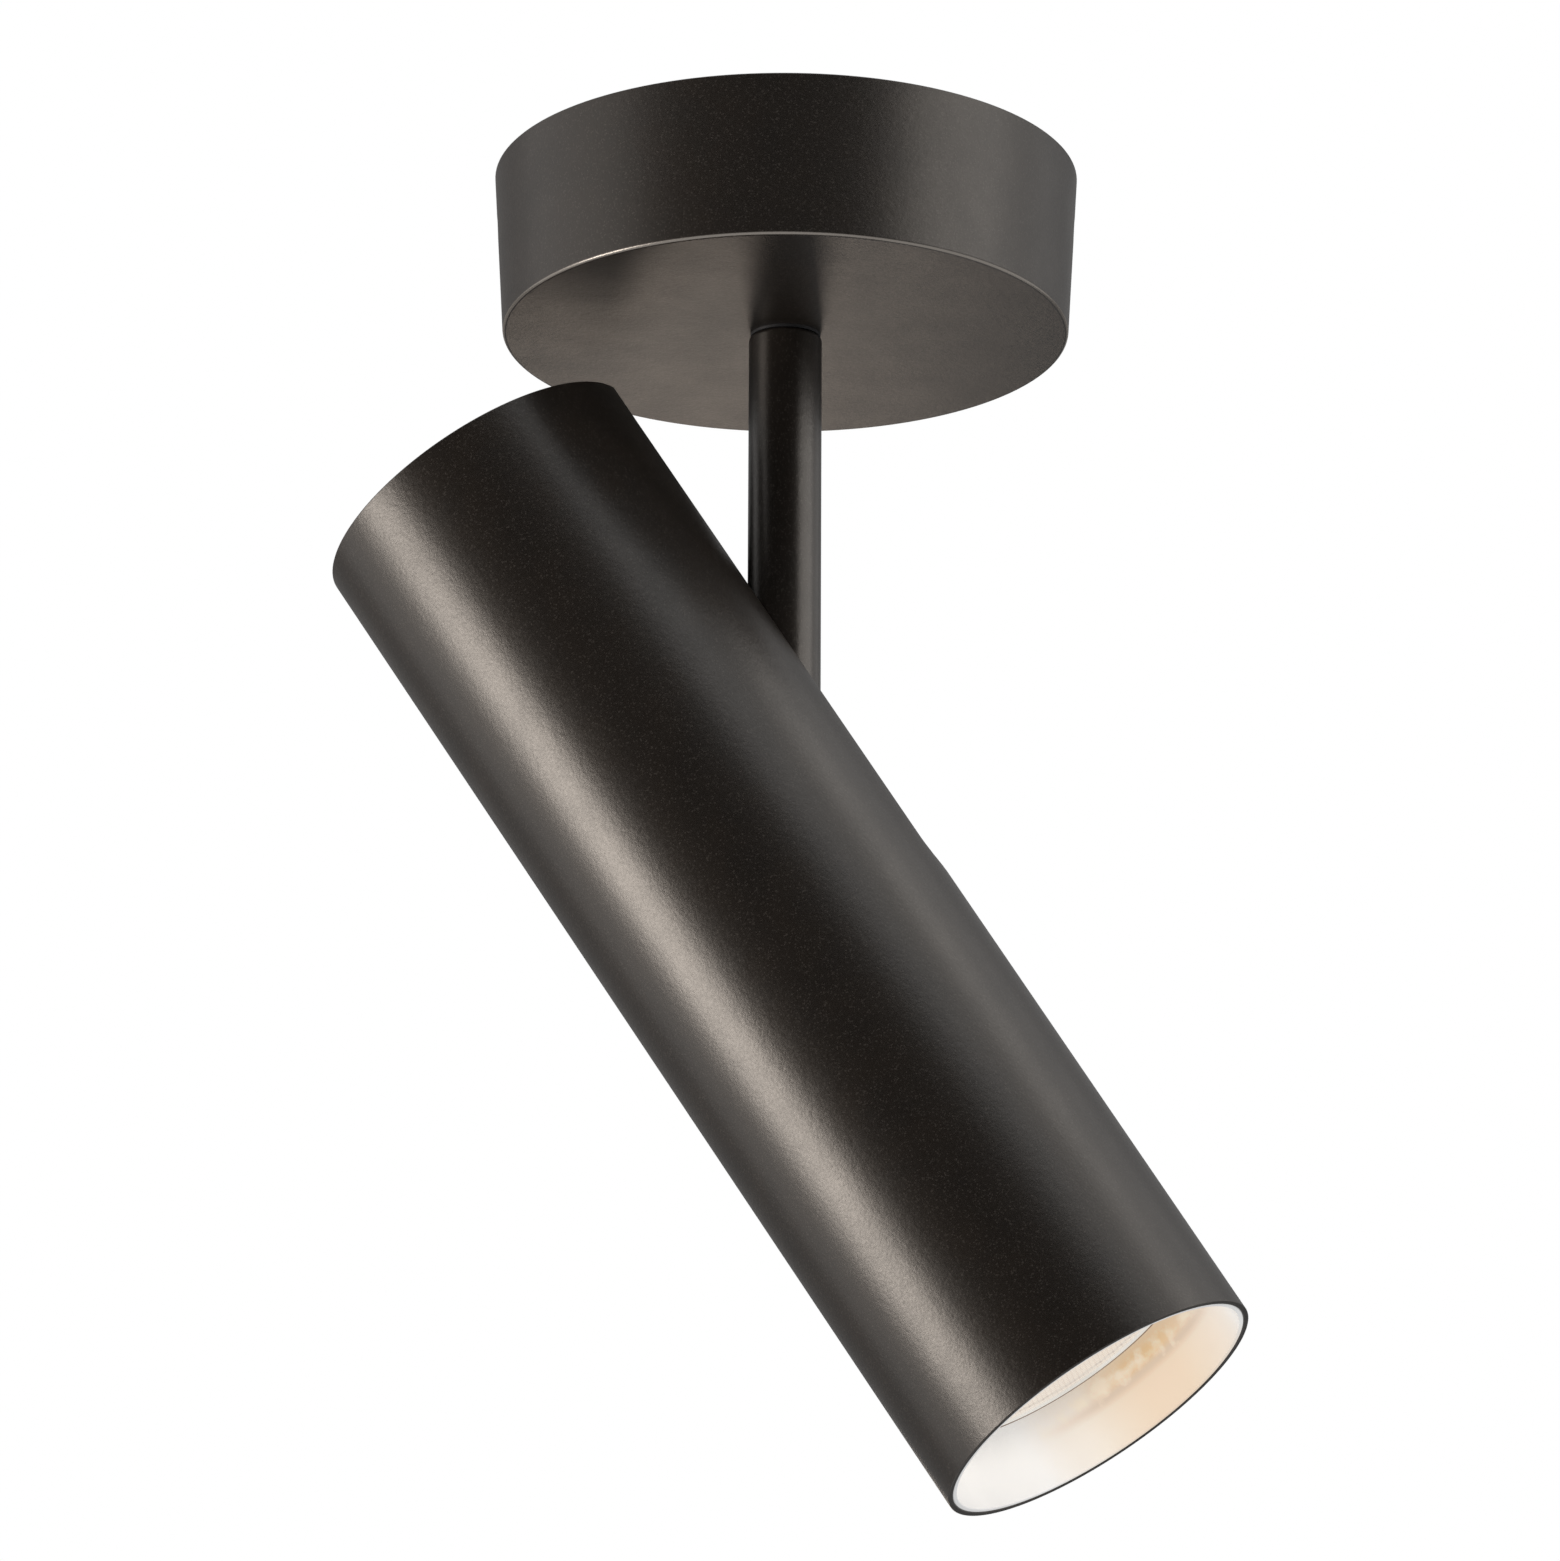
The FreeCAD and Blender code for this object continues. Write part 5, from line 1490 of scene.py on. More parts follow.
@dataclass
class Stem(SubAssembly):
    """The stem with the swivel fittings above it and the eye below."""

    body: str = "stem_arm"
    seat: Seat = STEM
    bore: float = 5.05 * MM
    edge: float = 0.8 * MM
    key_half: float = 0.73 * MM
    key_floor: float = 4.32 * MM
    key_end: float = -26.7 * MM
    nipple_bore: float = 3.7 * MM
    arm_half_width: float = 0.75 * MM
    spring_thickness: float = 0.9 * MM
    nut_flats: float = 14.0 * MM
    eye_radius: float = 6.5 * MM
    eye_half: float = 2.0 * MM
    neck_half: float = 4.5 * MM
    neck_top: float = 12.5 * MM
    plug_radii: tuple[float, float] = (3.9 * MM, 5.02 * MM)
    plug_foot: float = 9.5 * MM

    def build(self) -> None:
        """Model every piece of the stem."""
        self.tube()
        self.washers()
        self.nipple()
        self.knuckle()
        self.leads()

    def tube(self) -> None:
        """Drawn tube with a rounded upper edge."""
        (low, high, r), e, b = self.span("stem_tube"), self.edge, 0.15 * MM
        tube = turned("drawn_stem", [
            (r - b, low), (r, low + b), (r, (low + high) / 2), *arc((r - e, high - e), e, 0, 90, 6),
            (self.bore, high), (self.bore, low)])
        self.fit(tube, STEM_COAT, "stem_tube")

    def washers(self) -> None:
        """Slide washer, stop washer with its arm, disc spring and nut."""
        (low, high, r), bore = self.span("thrust_washer"), self.bore
        slide = turned("slide_washer", [(r, low), (r, high), (bore, high), (bore, low)], sides=72)
        self.fit(slide, BLACK_NYLON, "thrust_washer")
        size, half = extent("stop_washer", STEM), self.arm_half_width
        low, high, reach, r = size.low.z, size.high.z, size.high.x, -size.low.x
        washer = turned("stop_arm_washer", [(r, low), (r, high), (bore, high), (bore, low)], sides=72)
        arm = block("arm", (r - MM, -half, low), (reach, half, high))
        key = block("key", (-0.7 * MM, self.key_floor + 0.03 * MM, low),
                    (0.7 * MM, bore + 0.6 * MM, high))
        soften(weld(washer, arm, key), 0.12 * MM)
        self.fit(washer, TURNED_ZINC, "stop_washer")
        (low, high, r), b, thick = self.span("swivel_spring"), 0.12 * MM, self.spring_thickness
        spring = turned("disc_spring", [
            (r - b, low), (r, low + b), (r, low + thick - b), (r - b, low + thick),
            (bore + b, high), (bore, high - b), (bore, high - thick + b),
            (bore + b, high - thick)], sides=72)
        self.fit(spring, SPRING_STEEL, "swivel_spring")
        low, high, _ = self.span("swivel_nut")
        nut = hexagon_nut("swivel_hex_nut", self.nut_flats, low, high, bore)
        self.fit(nut, BRASS, "swivel_nut")

    def nipple(self) -> None:
        """Hollow nipple with a helical thread and a keyway."""
        (low, high, r), key_half = self.span("swivel_nipple"), self.key_half
        nipple = threaded("threaded_nipple", r, self.nipple_bore, low, high, 1.0 * MM)
        cut(nipple, block("keyway", (-key_half, self.key_floor, self.key_end),
                          (key_half, 7 * MM, high + MM)))
        self.fit(nipple, BRASS, "swivel_nipple")

    def knuckle(self) -> None:
        """Cast eye with its flat neck and the hollow plug for the stem."""
        half, neck, (core, plug) = self.eye_half, self.neck_half, self.plug_radii
        top, foot = extent("stem_knuckle", KNUCKLE).high.z, self.plug_foot
        eye = bar(self.eye_radius, half, Axis.PLUS_Y, sides=72)
        eye.name = "cast_eye"
        weld(eye, block("neck", (-neck, -half, 0), (neck, half, self.neck_top)),
             turned("plug", [(plug, foot), (plug, top - 0.6 * MM), (plug - 0.5 * MM, top),
                             (core, top), (core, foot)], sides=72))
        cut(eye, bar(2.55 * MM, 9 * MM, Axis.PLUS_Y))
        soften(eye, 0.25 * MM, steps=3)
        self.fit(eye, CAST_ZINC, "stem_knuckle", KNUCKLE)

    def leads(self) -> None:
        """Three leads in the stem, with broken edges at both ends."""
        (low, high, _), r, b = self.span("stem_leads"), LEAD_RADIUS, 0.1 * MM
        for colour, (x, y) in LEAD_OFFSETS.items():
            wire = turned(colour + "_stem_lead", [
                (r - b, low), (r, low + b), (r, (low + high) / 2), (r, high - b), (r - b, high)],
                sides=20, solid=True)
            self.fit(wire, LEADS[colour], "stem_leads", STEM.beside(x * MM, y * MM, 0), smooth=60)


@dataclass
class Head(SubAssembly):
    """The tube with its cap and liner, and the plate, fork and lampholder inside it."""

    body: str = "spot_head"
    seat: Seat = HEAD
    rim: float = 0.2 * MM
    slot_half_width: float = 7.0 * MM
    bore: float = 29.0 * MM
    screw_level: float = -18.0 * MM
    cap_wall: float = 1.0 * MM
    cap_edge: float = 0.35 * MM
    cap_start: float = 8.0 * MM
    liner_wall: float = 0.8 * MM
    liner_step: float = 0.15 * MM
    plate_top: float = -12.5 * MM
    plate_foot: float = -14.0 * MM
    plate_start: float = 4.5 * MM
    tab_half_width: float = 5.0 * MM
    fork_gap: tuple[float, float] = (2.05 * MM, -8.5 * MM)
    pillar_offset: float = 9.5 * MM
    grommet_offset: float = 12.0 * MM
    grommet_hole: float = 4.03 * MM
    tag_place: tuple[float, float] = (-14.0 * MM, 8.0 * MM)
    tag_thickness: float = 0.8 * MM
    washer_outside: float = 5.85 * MM
    pan_height: float = 1.8 * MM

    def build(self) -> None:
        """Model every piece of the head."""
        self.tube()
        self.cap()
        self.liner()
        self.plate()
        self.fork()
        self.pivot()
        self.screws()
        self.grommet()
        self.leads()
        self.tag()
        self.pillars()
        self.holder()
        self.keyholes()
        self.contacts()

    def screw_holes(self) -> Piece:
        """A cutter of the two screw holes that face each other across the tube."""
        return bar(M3_HOLE, 60 * MM, Axis.PLUS_X, self.screw_level, sides=24)

    def tube(self) -> None:
        """Slotted tube with broken rims and the holes of its two screws."""
        low, high, r = self.span("lamp_tube")
        low, r = low + 0.02 * MM, r - 0.05 * MM
        b, bore, half = self.rim, self.bore, self.slot_half_width
        steps = [low + b, -24 * MM, -9 * MM, 9 * MM, 40 * MM, 70 * MM, high - b]
        tube = turned("slotted_tube", [
            *[(r, level) for level in steps],
            *arc((r - b, high - b), b, 0, 90, 3)[1:], *arc((bore + b, high - b), b, 90, 180, 3)[:-1],
            *[(bore, level) for level in reversed(steps)],
            *arc((bore + b, low + b), b, 180, 270, 3)[1:], *arc((r - b, low + b), b, 270, 360, 3)[:-1],
        ], sides=144)
        slot = block("slot", (0.2 * 2 * r, -half, 0), (2 * r, half, 2 * high))
        slot_end = moved(cylinder("slot_end", half, 0.2 * 2 * r, 2 * r), ORIGIN.tipped(Axis.PLUS_X))
        cut(tube, slot, slot_end, self.screw_holes())
        soften(tube, 0.12 * MM)
        self.fit(tube, COAT, "lamp_tube")

    def cap(self) -> None:
        """Cap of the upper end with a rounded edge, a skirt and the slot carried on."""
        (foot, top, r), wall, b = self.span("top_cap"), self.cap_wall, self.cap_edge
        inside, half, start = r - wall, self.slot_half_width, self.cap_start
        cap = turned("slotted_cap", [
            (start, top - wall), (inside - b, top - wall),
            *arc((inside - b, top - wall - b), b, 90, 0, 3)[1:],
            (inside, foot), (r, foot + 0.15 * MM), *arc((r - b, top - b), b, 0, 90), (start, top)],
            sides=144, solid=True)
        slot = block("slot", (0, -half, foot - MM), (2 * r, half, top + MM))
        cut(cap, slot, drill(half, foot - MM, top + MM, sides=48))
        soften(cap, 0.12 * MM)
        self.fit(cap, COAT, "top_cap")

    def liner(self) -> None:
        """White liner with a rounded edge at the mouth."""
        _, high, r = self.span("inner_sleeve")
        low = self.span("lamp_tube")[0] + self.liner_step
        inside, b = r - self.liner_wall, 0.2 * MM
        liner = turned("mouth_liner", [
            (r, low + b), (r, high), (inside, high), (inside, low + b),
            *arc((inside + b, low + b), b, 180, 270)[1:], *arc((r - b, low + b), b, 270, 360)[:-1]],
            sides=144)
        self.fit(liner, LINER, "inner_sleeve")

    def plate(self) -> None:
        """Pressed plate across the tube with two tabs bent down along the wall."""
        end, _, r = self.span("carrier_plate")
        top, foot, far = self.plate_top, self.plate_foot, 40 * MM
        wall, start, half = top - foot, self.plate_start, self.tab_half_width
        inner_bend, outer_bend = 0.4 * MM, 1.4 * MM
        plate = turned("tabbed_plate", [
            (start, foot),
            *arc((r - wall - inner_bend, foot - inner_bend), inner_bend, 90, 0, 3),
            (r - wall, end), (r, end),
            *arc((r - outer_bend, top - outer_bend), outer_bend, 0, 90, 5), (start, top)],
            sides=120, solid=True)
        sides = [block("side", (-far, low, end - MM), (far, high, foot))
                 for low, high in ((half, far), (-far, -half))]
        holes = [(M5_HOLE, 0, 0), (M3_HOLE, self.pillar_offset, 0), (M3_HOLE, -self.pillar_offset, 0),
                 (self.grommet_hole, 0, self.grommet_offset), (M3_HOLE, *self.tag_place)]
        drills = [drill(radius, foot - MM, top + MM, x, y, sides=40) for radius, x, y in holes]
        cut(plate, *sides, *drills, self.screw_holes())
        soften(plate, 0.18 * MM)
        self.fit(plate, SHEET_ZINC, "carrier_plate")

    def fork(self) -> None:
        """Cast fork with round cheeks that hold the stem's eye."""
        size = extent("knuckle_fork", HEAD)
        foot, r, half, (gap, gap_foot) = size.low.z, size.high.x, size.high.y, self.fork_gap
        fork = block("cast_fork", (-r, -half, foot), (r, half, 0))
        weld(fork, bar(r, half, Axis.PLUS_Y, sides=64))
        cut(fork, block("gap", (-2 * r, -gap, gap_foot), (2 * r, gap, 2 * r)),
            bar(M5_HOLE, 2 * half, Axis.PLUS_Y), drill(M5_HOLE, foot - MM, -8 * MM, sides=40))
        soften(fork, 0.35 * MM, steps=3)
        self.fit(fork, CAST_ZINC, "knuckle_fork")

    def pivot(self) -> None:
        """Socket bolt, two shims and a lock nut with its nylon ring."""
        side, out = HEAD.tipped(Axis.MINUS_Y), self.washer_outside
        bolt = Screw(2.5 * MM, out * 2 + 4.5 * MM, Recess.HEX, 3.0 * MM, 1.7 * MM,
                     pitch=0.8 * MM, head=4.2 * MM, height=2.6 * MM)
        self.fit(bolt.build("pivot_bolt_socket"), TURNED_ZINC, "pivot_bolt", side.beside(0, 0, out))
        r, bore, thick, b = 4.6 * MM, M5_HOLE, 0.8 * MM, 0.15 * MM
        shim = turned("pivot_shims", [(r, b), (r, thick - b), (r - b, thick), (bore + b, thick),
                                      (bore, thick - b), (bore, b), (bore + b, 0), (r - b, 0)],
                      sides=64)
        first = Matrix.Translation((0, 0, out - thick))
        shims = copies(shim, [first, Matrix.Rotation(math.pi, 4, "X") @ first])
        self.fit(shims, TURNED_ZINC, "pivot_washers", side)
        nut = hexagon_nut("lock_nut", 8.0 * MM, -out - 2.9 * MM, -out, M5_HOLE)
        collar = [(radius, -out - below) for radius, below in
                  mm((3.9, 2.7), (3.9, 3.5), (3.4, 4.0), (3.1, 3.9), (3.1, 2.7))]
        weld(nut, turned("collar", collar, sides=64))
        self.fit(nut, TURNED_ZINC, "pivot_nut", side)
        ring = [(radius, -out - below) for radius, below in
                mm((3.05, 2.75), (3.05, 3.75), (2.55, 3.6), (2.55, 2.75))]
        self.fit(turned("lock_ring", ring, sides=48), LOCK_RING, "pivot_nut", side)

    def pan(self, length: float, dome: float = 0.9 * MM) -> Screw:
        """A pan head screw of 3 mm with a cross recess."""
        return Screw(1.5 * MM, length, Recess.CROSS, 2.6 * MM, 1.1 * MM, head=2.6 * MM,
                     height=self.pan_height, dome=dome)

    def screws(self) -> None:
        """Every screw of the head but the pivot bolt."""
        r = extent("tube_screws", HEAD).high.x
        grub = Screw(1.5 * MM, 6.0 * MM, Recess.HEX, 1.5 * MM, 2.0 * MM).build("tube_grub_screws")
        grub = moved(grub, ORIGIN.beside(r, 0, self.screw_level).tipped(Axis.PLUS_X))
        self.fit(copies(grub, round_axis(2)), BLACKENED, "tube_screws")
        cap_screw = Screw(2.5 * MM, 5.4 * MM, Recess.HEX, 4.0 * MM, 1.5 * MM, pitch=0.8 * MM,
                          head=4.2 * MM, height=3.0 * MM)
        below = HEAD.beside(0, 0, self.plate_foot).tipped(Axis.MINUS_Z)
        self.fit(cap_screw.build("fork_cap_screw"), TURNED_ZINC, "fork_screw", below)
        screw = self.pan(5.4 * MM).build("pillar_pan_screws")
        self.fit(copies(screw, across(self.pillar_offset, z=self.plate_top)),
                 TURNED_ZINC, "pillar_screws")
        (low, top, _), high = self.span("holder_screws"), self.pan_height
        screw = self.pan(top - low - high).build("holder_pan_screws")
        places = across(self.pillar_offset, z=low + high, turn=Matrix.Rotation(math.pi, 4, "X"))
        self.fit(copies(screw, places), TURNED_ZINC, "holder_screws")
        under = HEAD.beside(*self.tag_place, self.plate_foot - self.tag_thickness)
        screw = self.pan(2.3 * MM, dome=0.8 * MM).build("earth_pan_screw")
        self.fit(screw, TURNED_ZINC, "head_earth_screw", under.tipped(Axis.MINUS_Z))

    def grommet(self) -> None:
        """Soft grommet with round lips on both sides of the plate."""
        bore, waist, lip, h = 2.4 * MM, 4.0 * MM, 5.2 * MM, 1.0 * MM
        top, foot, flat = self.plate_top, self.plate_foot, 5.1 * MM
        b, e = 0.45 * MM, 0.5 * MM
        grommet = turned("soft_grommet", [
            (waist, foot), (waist, top), (flat, top), *arc((lip - b, top + h - b), b, 0, 90),
            *arc((bore + e, top + h - e), e, 90, 180), *arc((bore + e, foot - h + e), e, 180, 270),
            *arc((lip - b, foot - h + b), b, 270, 360), (flat, foot)], sides=64)
        self.fit(grommet, RUBBER, "lead_grommet", HEAD.beside(0, self.grommet_offset, 0))

    def leads(self) -> None:
        """Brown, blue and striped earth lead from the grommet to the holder and the tag."""
        start, side, near, far, tag = -9.5, 0.91, 11.3, 13.12, -15.53
        routes = {
            "brown": [(side, near, start), (side, near, -14), (side, near, -18), (0.4, 8.8, -19.6),
                      (0, 6, -21), (0, 6, -23), (0, 6, -26)],
            "blue": [(-side, near, start), (-side, near, -13.5), (-side, near, -17),
                     (-0.45, 2.5, -19), (0, -6, -21), (0, -6, -23), (0, -6, -26)],
            "earth": [(0, far, start), (0, far, -13.5), (0, far, -17), (-3.4, 10.4, -16.2),
                      (-6.2, 8, tag), (-8.6, 8, tag), (-10.7, 8, tag)],
        }
        for colour, points in routes.items():
            self.fit(lead(colour + "_lamp_lead", *points), LEADS[colour], "lamp_leads", smooth=60)

    def tag(self) -> None:
        """Ring tag with an arm towards the earth lead."""
        top, low = self.plate_foot, self.plate_foot - self.tag_thickness
        tag = cylinder("ring_tag", 3.0 * MM, low, top)
        weld(tag, block("arm", (0, -1.2 * MM, low), (5.0 * MM, 1.2 * MM, top)))
        cut(tag, drill(M3_HOLE, low - MM, top + MM, sides=36))
        soften(tag, 0.1 * MM)
        self.fit(tag, BRASS, "earth_tag", HEAD.beside(*self.tag_place, 0))

    def pillars(self) -> None:
        """Two turned pillars with chamfered ends and a groove at each end."""
        (low, high, _), r, bore, b = self.span("holder_pillars"), 2.75 * MM, M3_HOLE, 0.3 * MM
        groove = [(r, 1.4 * MM), (r - b, 1.6 * MM), (r - b, 2.0 * MM), (r, 2.2 * MM)]
        pillar = turned("turned_pillars", [
            (r - b, low), (r, low + b), *[(radius, low + off) for radius, off in groove],
            *[(radius, high - off) for radius, off in reversed(groove)],
            (r, high - b), (r - b, high), (bore + b, high), (bore, high - b),
            (bore, low + b), (bore + b, low)], sides=48)
        self.fit(copies(pillar, across(self.pillar_offset)), TURNED_ZINC, "holder_pillars")

    def holder(self) -> None:
        """Ceramic back of the lampholder, with the pockets of its contact springs."""
        (split, top, r), c = self.span("lampholder_body"), 0.9 * MM
        start, waist, under, over = 4 * MM, r - 0.7 * MM, split - MM, top + MM
        holder = turned("ceramic_back", [
            (start, split), (r - 0.3 * MM, split), (r, split + 0.3 * MM), (r, split + 3.6 * MM),
            (waist, split + 4.3 * MM), (waist, top - 3.4 * MM), (r, top - 2.7 * MM), (r, top - c),
            (r - c, top), (start, top)], solid=True)
        tools = [sector("pocket", 2.27 * MM, 7.73 * MM, under, split + 4.5 * MM, side - 53.1,
                        side + 53.1) for side in (90, 270)]
        funnel = [(0.73 * MM, top - 3.0 * MM), (0.73 * MM, top - 0.7 * MM),
                  (1.4 * MM, top + 0.01 * MM), (1.4 * MM, over)]
        for sign in BOTH_SIDES:
            tools.append(drill(M3_HOLE, under, over, sign * self.pillar_offset))
            way = turned("way", funnel, sides=24, solid=True)
            tools.append(moved(way, ORIGIN.beside(0, sign * 6 * MM, 0)))
        cut(holder, *tools)
        soften(holder, 0.2 * MM)
        self.fit(holder, CERAMIC, "lampholder_body")

    def keyholes(self) -> None:
        """Ceramic face with two keyholes and two sunk screw holes."""
        (foot, split, r), c, b = self.span("lampholder_face"), 0.8 * MM, 0.3 * MM
        start, circle, under, over = 3 * MM, 5 * MM, foot - MM, split + MM
        face = turned("ceramic_face", [(start, foot), (r - c, foot), (r, foot + c), (r, split - b),
                                       (r - b, split), (start, split)], solid=True)
        tools = []
        for side in (0, 180):
            for radius, spot in ((1.9 * MM, 90.0), (2.7 * MM, 70.0)):
                hole = ORIGIN.spun(side).beside(circle * math.cos(math.radians(spot)),
                                                circle * math.sin(math.radians(spot)), 0)
                tools.append(drill(radius, under, over, hole.origin.x, hole.origin.y, sides=28))
            tools.append(sector("run", 3.2 * MM, 6.8 * MM, under, over, side + 72.0, side + 87.0))
        for sign in BOTH_SIDES:
            for radius, high in ((M3_HOLE, over), (2.63 * MM, foot + 2.0 * MM)):
                tools.append(drill(radius, under, high, sign * self.pillar_offset, sides=36))
        cut(face, *tools)
        soften(face, 0.25 * MM)
        self.fit(face, CERAMIC, "lampholder_face")

    def contacts(self) -> None:
        """The two springs inside the lampholder that touch the lamp's pins."""
        low, high, _ = self.span("holder_contacts")
        leaf = sector("contact_springs", 3.4 * MM, 6.6 * MM, low, high, 60, 120)
        soften(leaf, 0.25 * MM, steps=3)
        self.fit(copies(leaf, round_axis(2)), BRASS, "holder_contacts")


@dataclass
class Lamp(SubAssembly):
    """The reflector lamp that twists into the lampholder."""

    body: str = "lamp"
    seat: Seat = HEAD
    ring_height: float = 4.5 * MM
    ring_radius: float = 25.0 * MM
    neck: tuple[float, float] = (13.0 * MM, -55.05 * MM)
    collar: float = -52.05 * MM
    spigot: float = 9.5 * MM
    spigot_bore: float = 9.53 * MM
    lens_bore: float = 23.5 * MM
    ledge: float = -85.65 * MM
    board_bore: float = 22.43 * MM
    board_top: float = -80.05 * MM
    ledge_bore: float = 19.5 * MM
    flutes: int = 20
    flute_radius: float = 1.1 * MM
    pin_circle: float = 5.0 * MM
    emitter_circle: float = 11.0 * MM
    emitters: int = 6
    power: float = 0.0019
    light_size: float = 44 * MM
    light_colour: Colour = (1.0, 0.95, 0.88)

    def build(self) -> None:
        """Model every piece of the lamp."""
        self.shell()
        self.lens()
        self.board()
        self.cap()
        self.pins()
        self.light()

    def light(self) -> None:
        """The lamp's own warm light, which leaves its front towards the mouth."""
        front = self.span("lamp_shell")[0] - 0.3 * MM
        light = area_light("lamp_light", self.power, self.light_colour)
        light.matrix_world = HEAD.beside(0, 0, front).placed
        light.data.shape = "DISK"
        light.data.size = self.light_size
        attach(light, self.body)

    def shell(self) -> None:
        """White cone with a rounded front ring, shallow cooling flutes and a collar."""
        face, _, _ = self.span("lamp_shell")
        ring, r, b, e = face + self.ring_height, self.ring_radius, 0.6 * MM, 0.4 * MM
        neck, level = self.neck
        shell = turned("reflector_shell", [
            (self.lens_bore, face + 0.2 * MM), (self.lens_bore + 0.2 * MM, face),
            *arc((r - b, face + b), b, 270, 360), (r, ring - 0.8 * MM),
            (r - 0.3 * MM, ring - 0.2 * MM), (neck + 0.2 * MM, level), (neck, level + e),
            (neck, self.collar - e), (neck - e, self.collar), (self.spigot_bore, self.collar),
            (self.spigot_bore, level), (self.ledge_bore, self.board_top),
            (self.board_bore, self.board_top), (self.board_bore, self.ledge),
            (self.lens_bore, self.ledge)])
        rise, run = level - ring, r - neck
        half = 0.42 * math.hypot(rise, run)
        middle = Vector(((r + neck) / 2 + 0.75 * MM, 0, (ring + level) / 2))
        slant = Matrix.Rotation(-math.atan2(run, rise), 3, "Y")
        flute = moved(cylinder("flute", self.flute_radius, -half, half, sides=16), Seat(middle, slant))
        cut(shell, copies(flute, round_axis(self.flutes)))
        soften(shell, 0.12 * MM, angle=40)
        self.fit(shell, SHELL_WHITE, "lamp_shell")

    def lens(self) -> None:
        """Flat front with a raised flange; its field of small lenses is bump."""
        (low, high, r), start, b = self.span("lamp_lens"), 6 * MM, 0.25 * MM
        lens = turned("field_lens", [
            (start, low + b), (r - 1.7 * MM, low + b), (r - 1.45 * MM, low), (r - b, low),
            (r, low + b), (r, high - 0.1 * MM), (r - 0.1 * MM, high), (start, high)], solid=True)
        self.fit(lens, LENS, "lamp_lens")

    def board(self) -> None:
        """White board with its seven emitters, each in a dam with a domed fill."""
        (low, high, r), b, start = self.span("lamp_board"), 0.1 * MM, 5 * MM
        board = turned("emitter_board", [(start, low), (r - b, low), (r, low + b), (r, high - b),
                                         (r - b, high), (start, high)], sides=72, solid=True)
        self.fit(board, BOARD, "lamp_board")
        (foot, top, _), half = self.span("lamp_emitters"), 1.4 * MM
        body = block("emitter_bodies", (-half, -half, foot), (half, half, top))
        take(body)
        for face in body.data.polygons:
            face.select = face.normal.z < -0.9
        for edge in body.data.edges:
            edge.select = False
        for vertex in body.data.vertices:
            vertex.select = vertex.co.z < foot + 0.1 * (top - foot)
        bpy.ops.object.mode_set(mode="EDIT")
        bpy.ops.mesh.select_mode(type="FACE")
        for inset, rise in mm((0.25, 0.2), (0.45, -0.14)):
            bpy.ops.mesh.inset(thickness=inset)
            bpy.ops.transform.translate(value=(0, 0, rise))
        bpy.ops.object.mode_set(mode="OBJECT")
        outer = Matrix.Translation((self.emitter_circle, 0, 0))
        places = [Matrix.Identity(4), *[place @ outer for place in round_axis(self.emitters)]]
        self.fit(copies(body, places), EMITTER, "lamp_emitters", smooth=20)

    def cap(self) -> None:
        """Plug end with a rounded rim, a vent groove and the holes of its pins."""
        (low, seat, r), b, spigot = self.span("lamp_cap"), 0.7 * MM, self.spigot
        start, collar, groove = 3 * MM, self.collar, r - 0.4 * MM
        cap = turned("plug_end", [
            (start, low), (spigot - 0.3 * MM, low), (spigot, low + 0.3 * MM), (spigot, collar),
            (r - 0.2 * MM, collar), (r, collar + 0.2 * MM), (r, seat - 5.2 * MM),
            (groove, seat - 4.9 * MM), (groove, seat - 4.3 * MM), (r, seat - 4.0 * MM),
            *arc((r - b, seat - b), b, 0, 90), (start, seat)], solid=True)
        cut(cap, *[drill(1.63 * MM, seat - 3 * MM, seat + MM, y=sign * self.pin_circle)
                   for sign in BOTH_SIDES])
        soften(cap, 0.12 * MM)
        self.fit(cap, LAMP_WHITE, "lamp_cap")

    def pins(self) -> None:
        """Two turned pins with rounded heads."""
        (low, high, _), neck, head = self.span("lamp_pins"), 1.6 * MM, 2.4 * MM
        step, b = high - 3.2 * MM, 0.5 * MM
        pin = turned("headed_pins", [
            (neck - 0.2 * MM, low), (neck, low + 0.2 * MM), (neck, step), (head - 0.25 * MM, step),
            (head, step + 0.25 * MM), *arc((head - b, high - b), b, 0, 90), (0.5 * MM, high)],
            sides=40, solid=True)
        self.fit(copies(pin, across(y=self.pin_circle)), NICKEL, "lamp_pins")


# --- studio ---------------------------------------------------------------------------------


def area_light(name: str, power: float, colour: Colour) -> bpy.types.Object:
    """Add an area light that no camera sees.

    Args:
        name: its name.
        power: how strong it is, in watts.
        colour: its colour.

    Returns:
        The light.
    """
    deselect()
    bpy.ops.object.light_add(type="AREA")
    light = bpy.context.object
    light.name = name
    light.data.energy = power
    light.data.color = colour
    light.visible_camera = False
    return light


@dataclass(frozen=True)
class Softbox:
    """A soft rectangular light that looks at a point of the object from one direction."""

    name: str
    towards: tuple[float, float, float]
    distance: float
    width: float
    height: float
    radiance: float
    colour: Colour
    aim: tuple[float, float, float] = (0.0, 0.0, -0.1)

    def build(self) -> None:
        """Hang the light; its long side stands upright."""
        power = self.radiance * math.pi * self.width * self.height
        light = area_light(self.name, power, self.colour)
        away = Vector(self.towards).normalized()
        light.location = Vector(self.aim) + away * self.distance
        light.rotation_euler = away.to_track_quat("Z", "Y").to_euler()
        light.data.shape = "RECTANGLE"
        light.data.size = self.width
        light.data.size_y = self.height


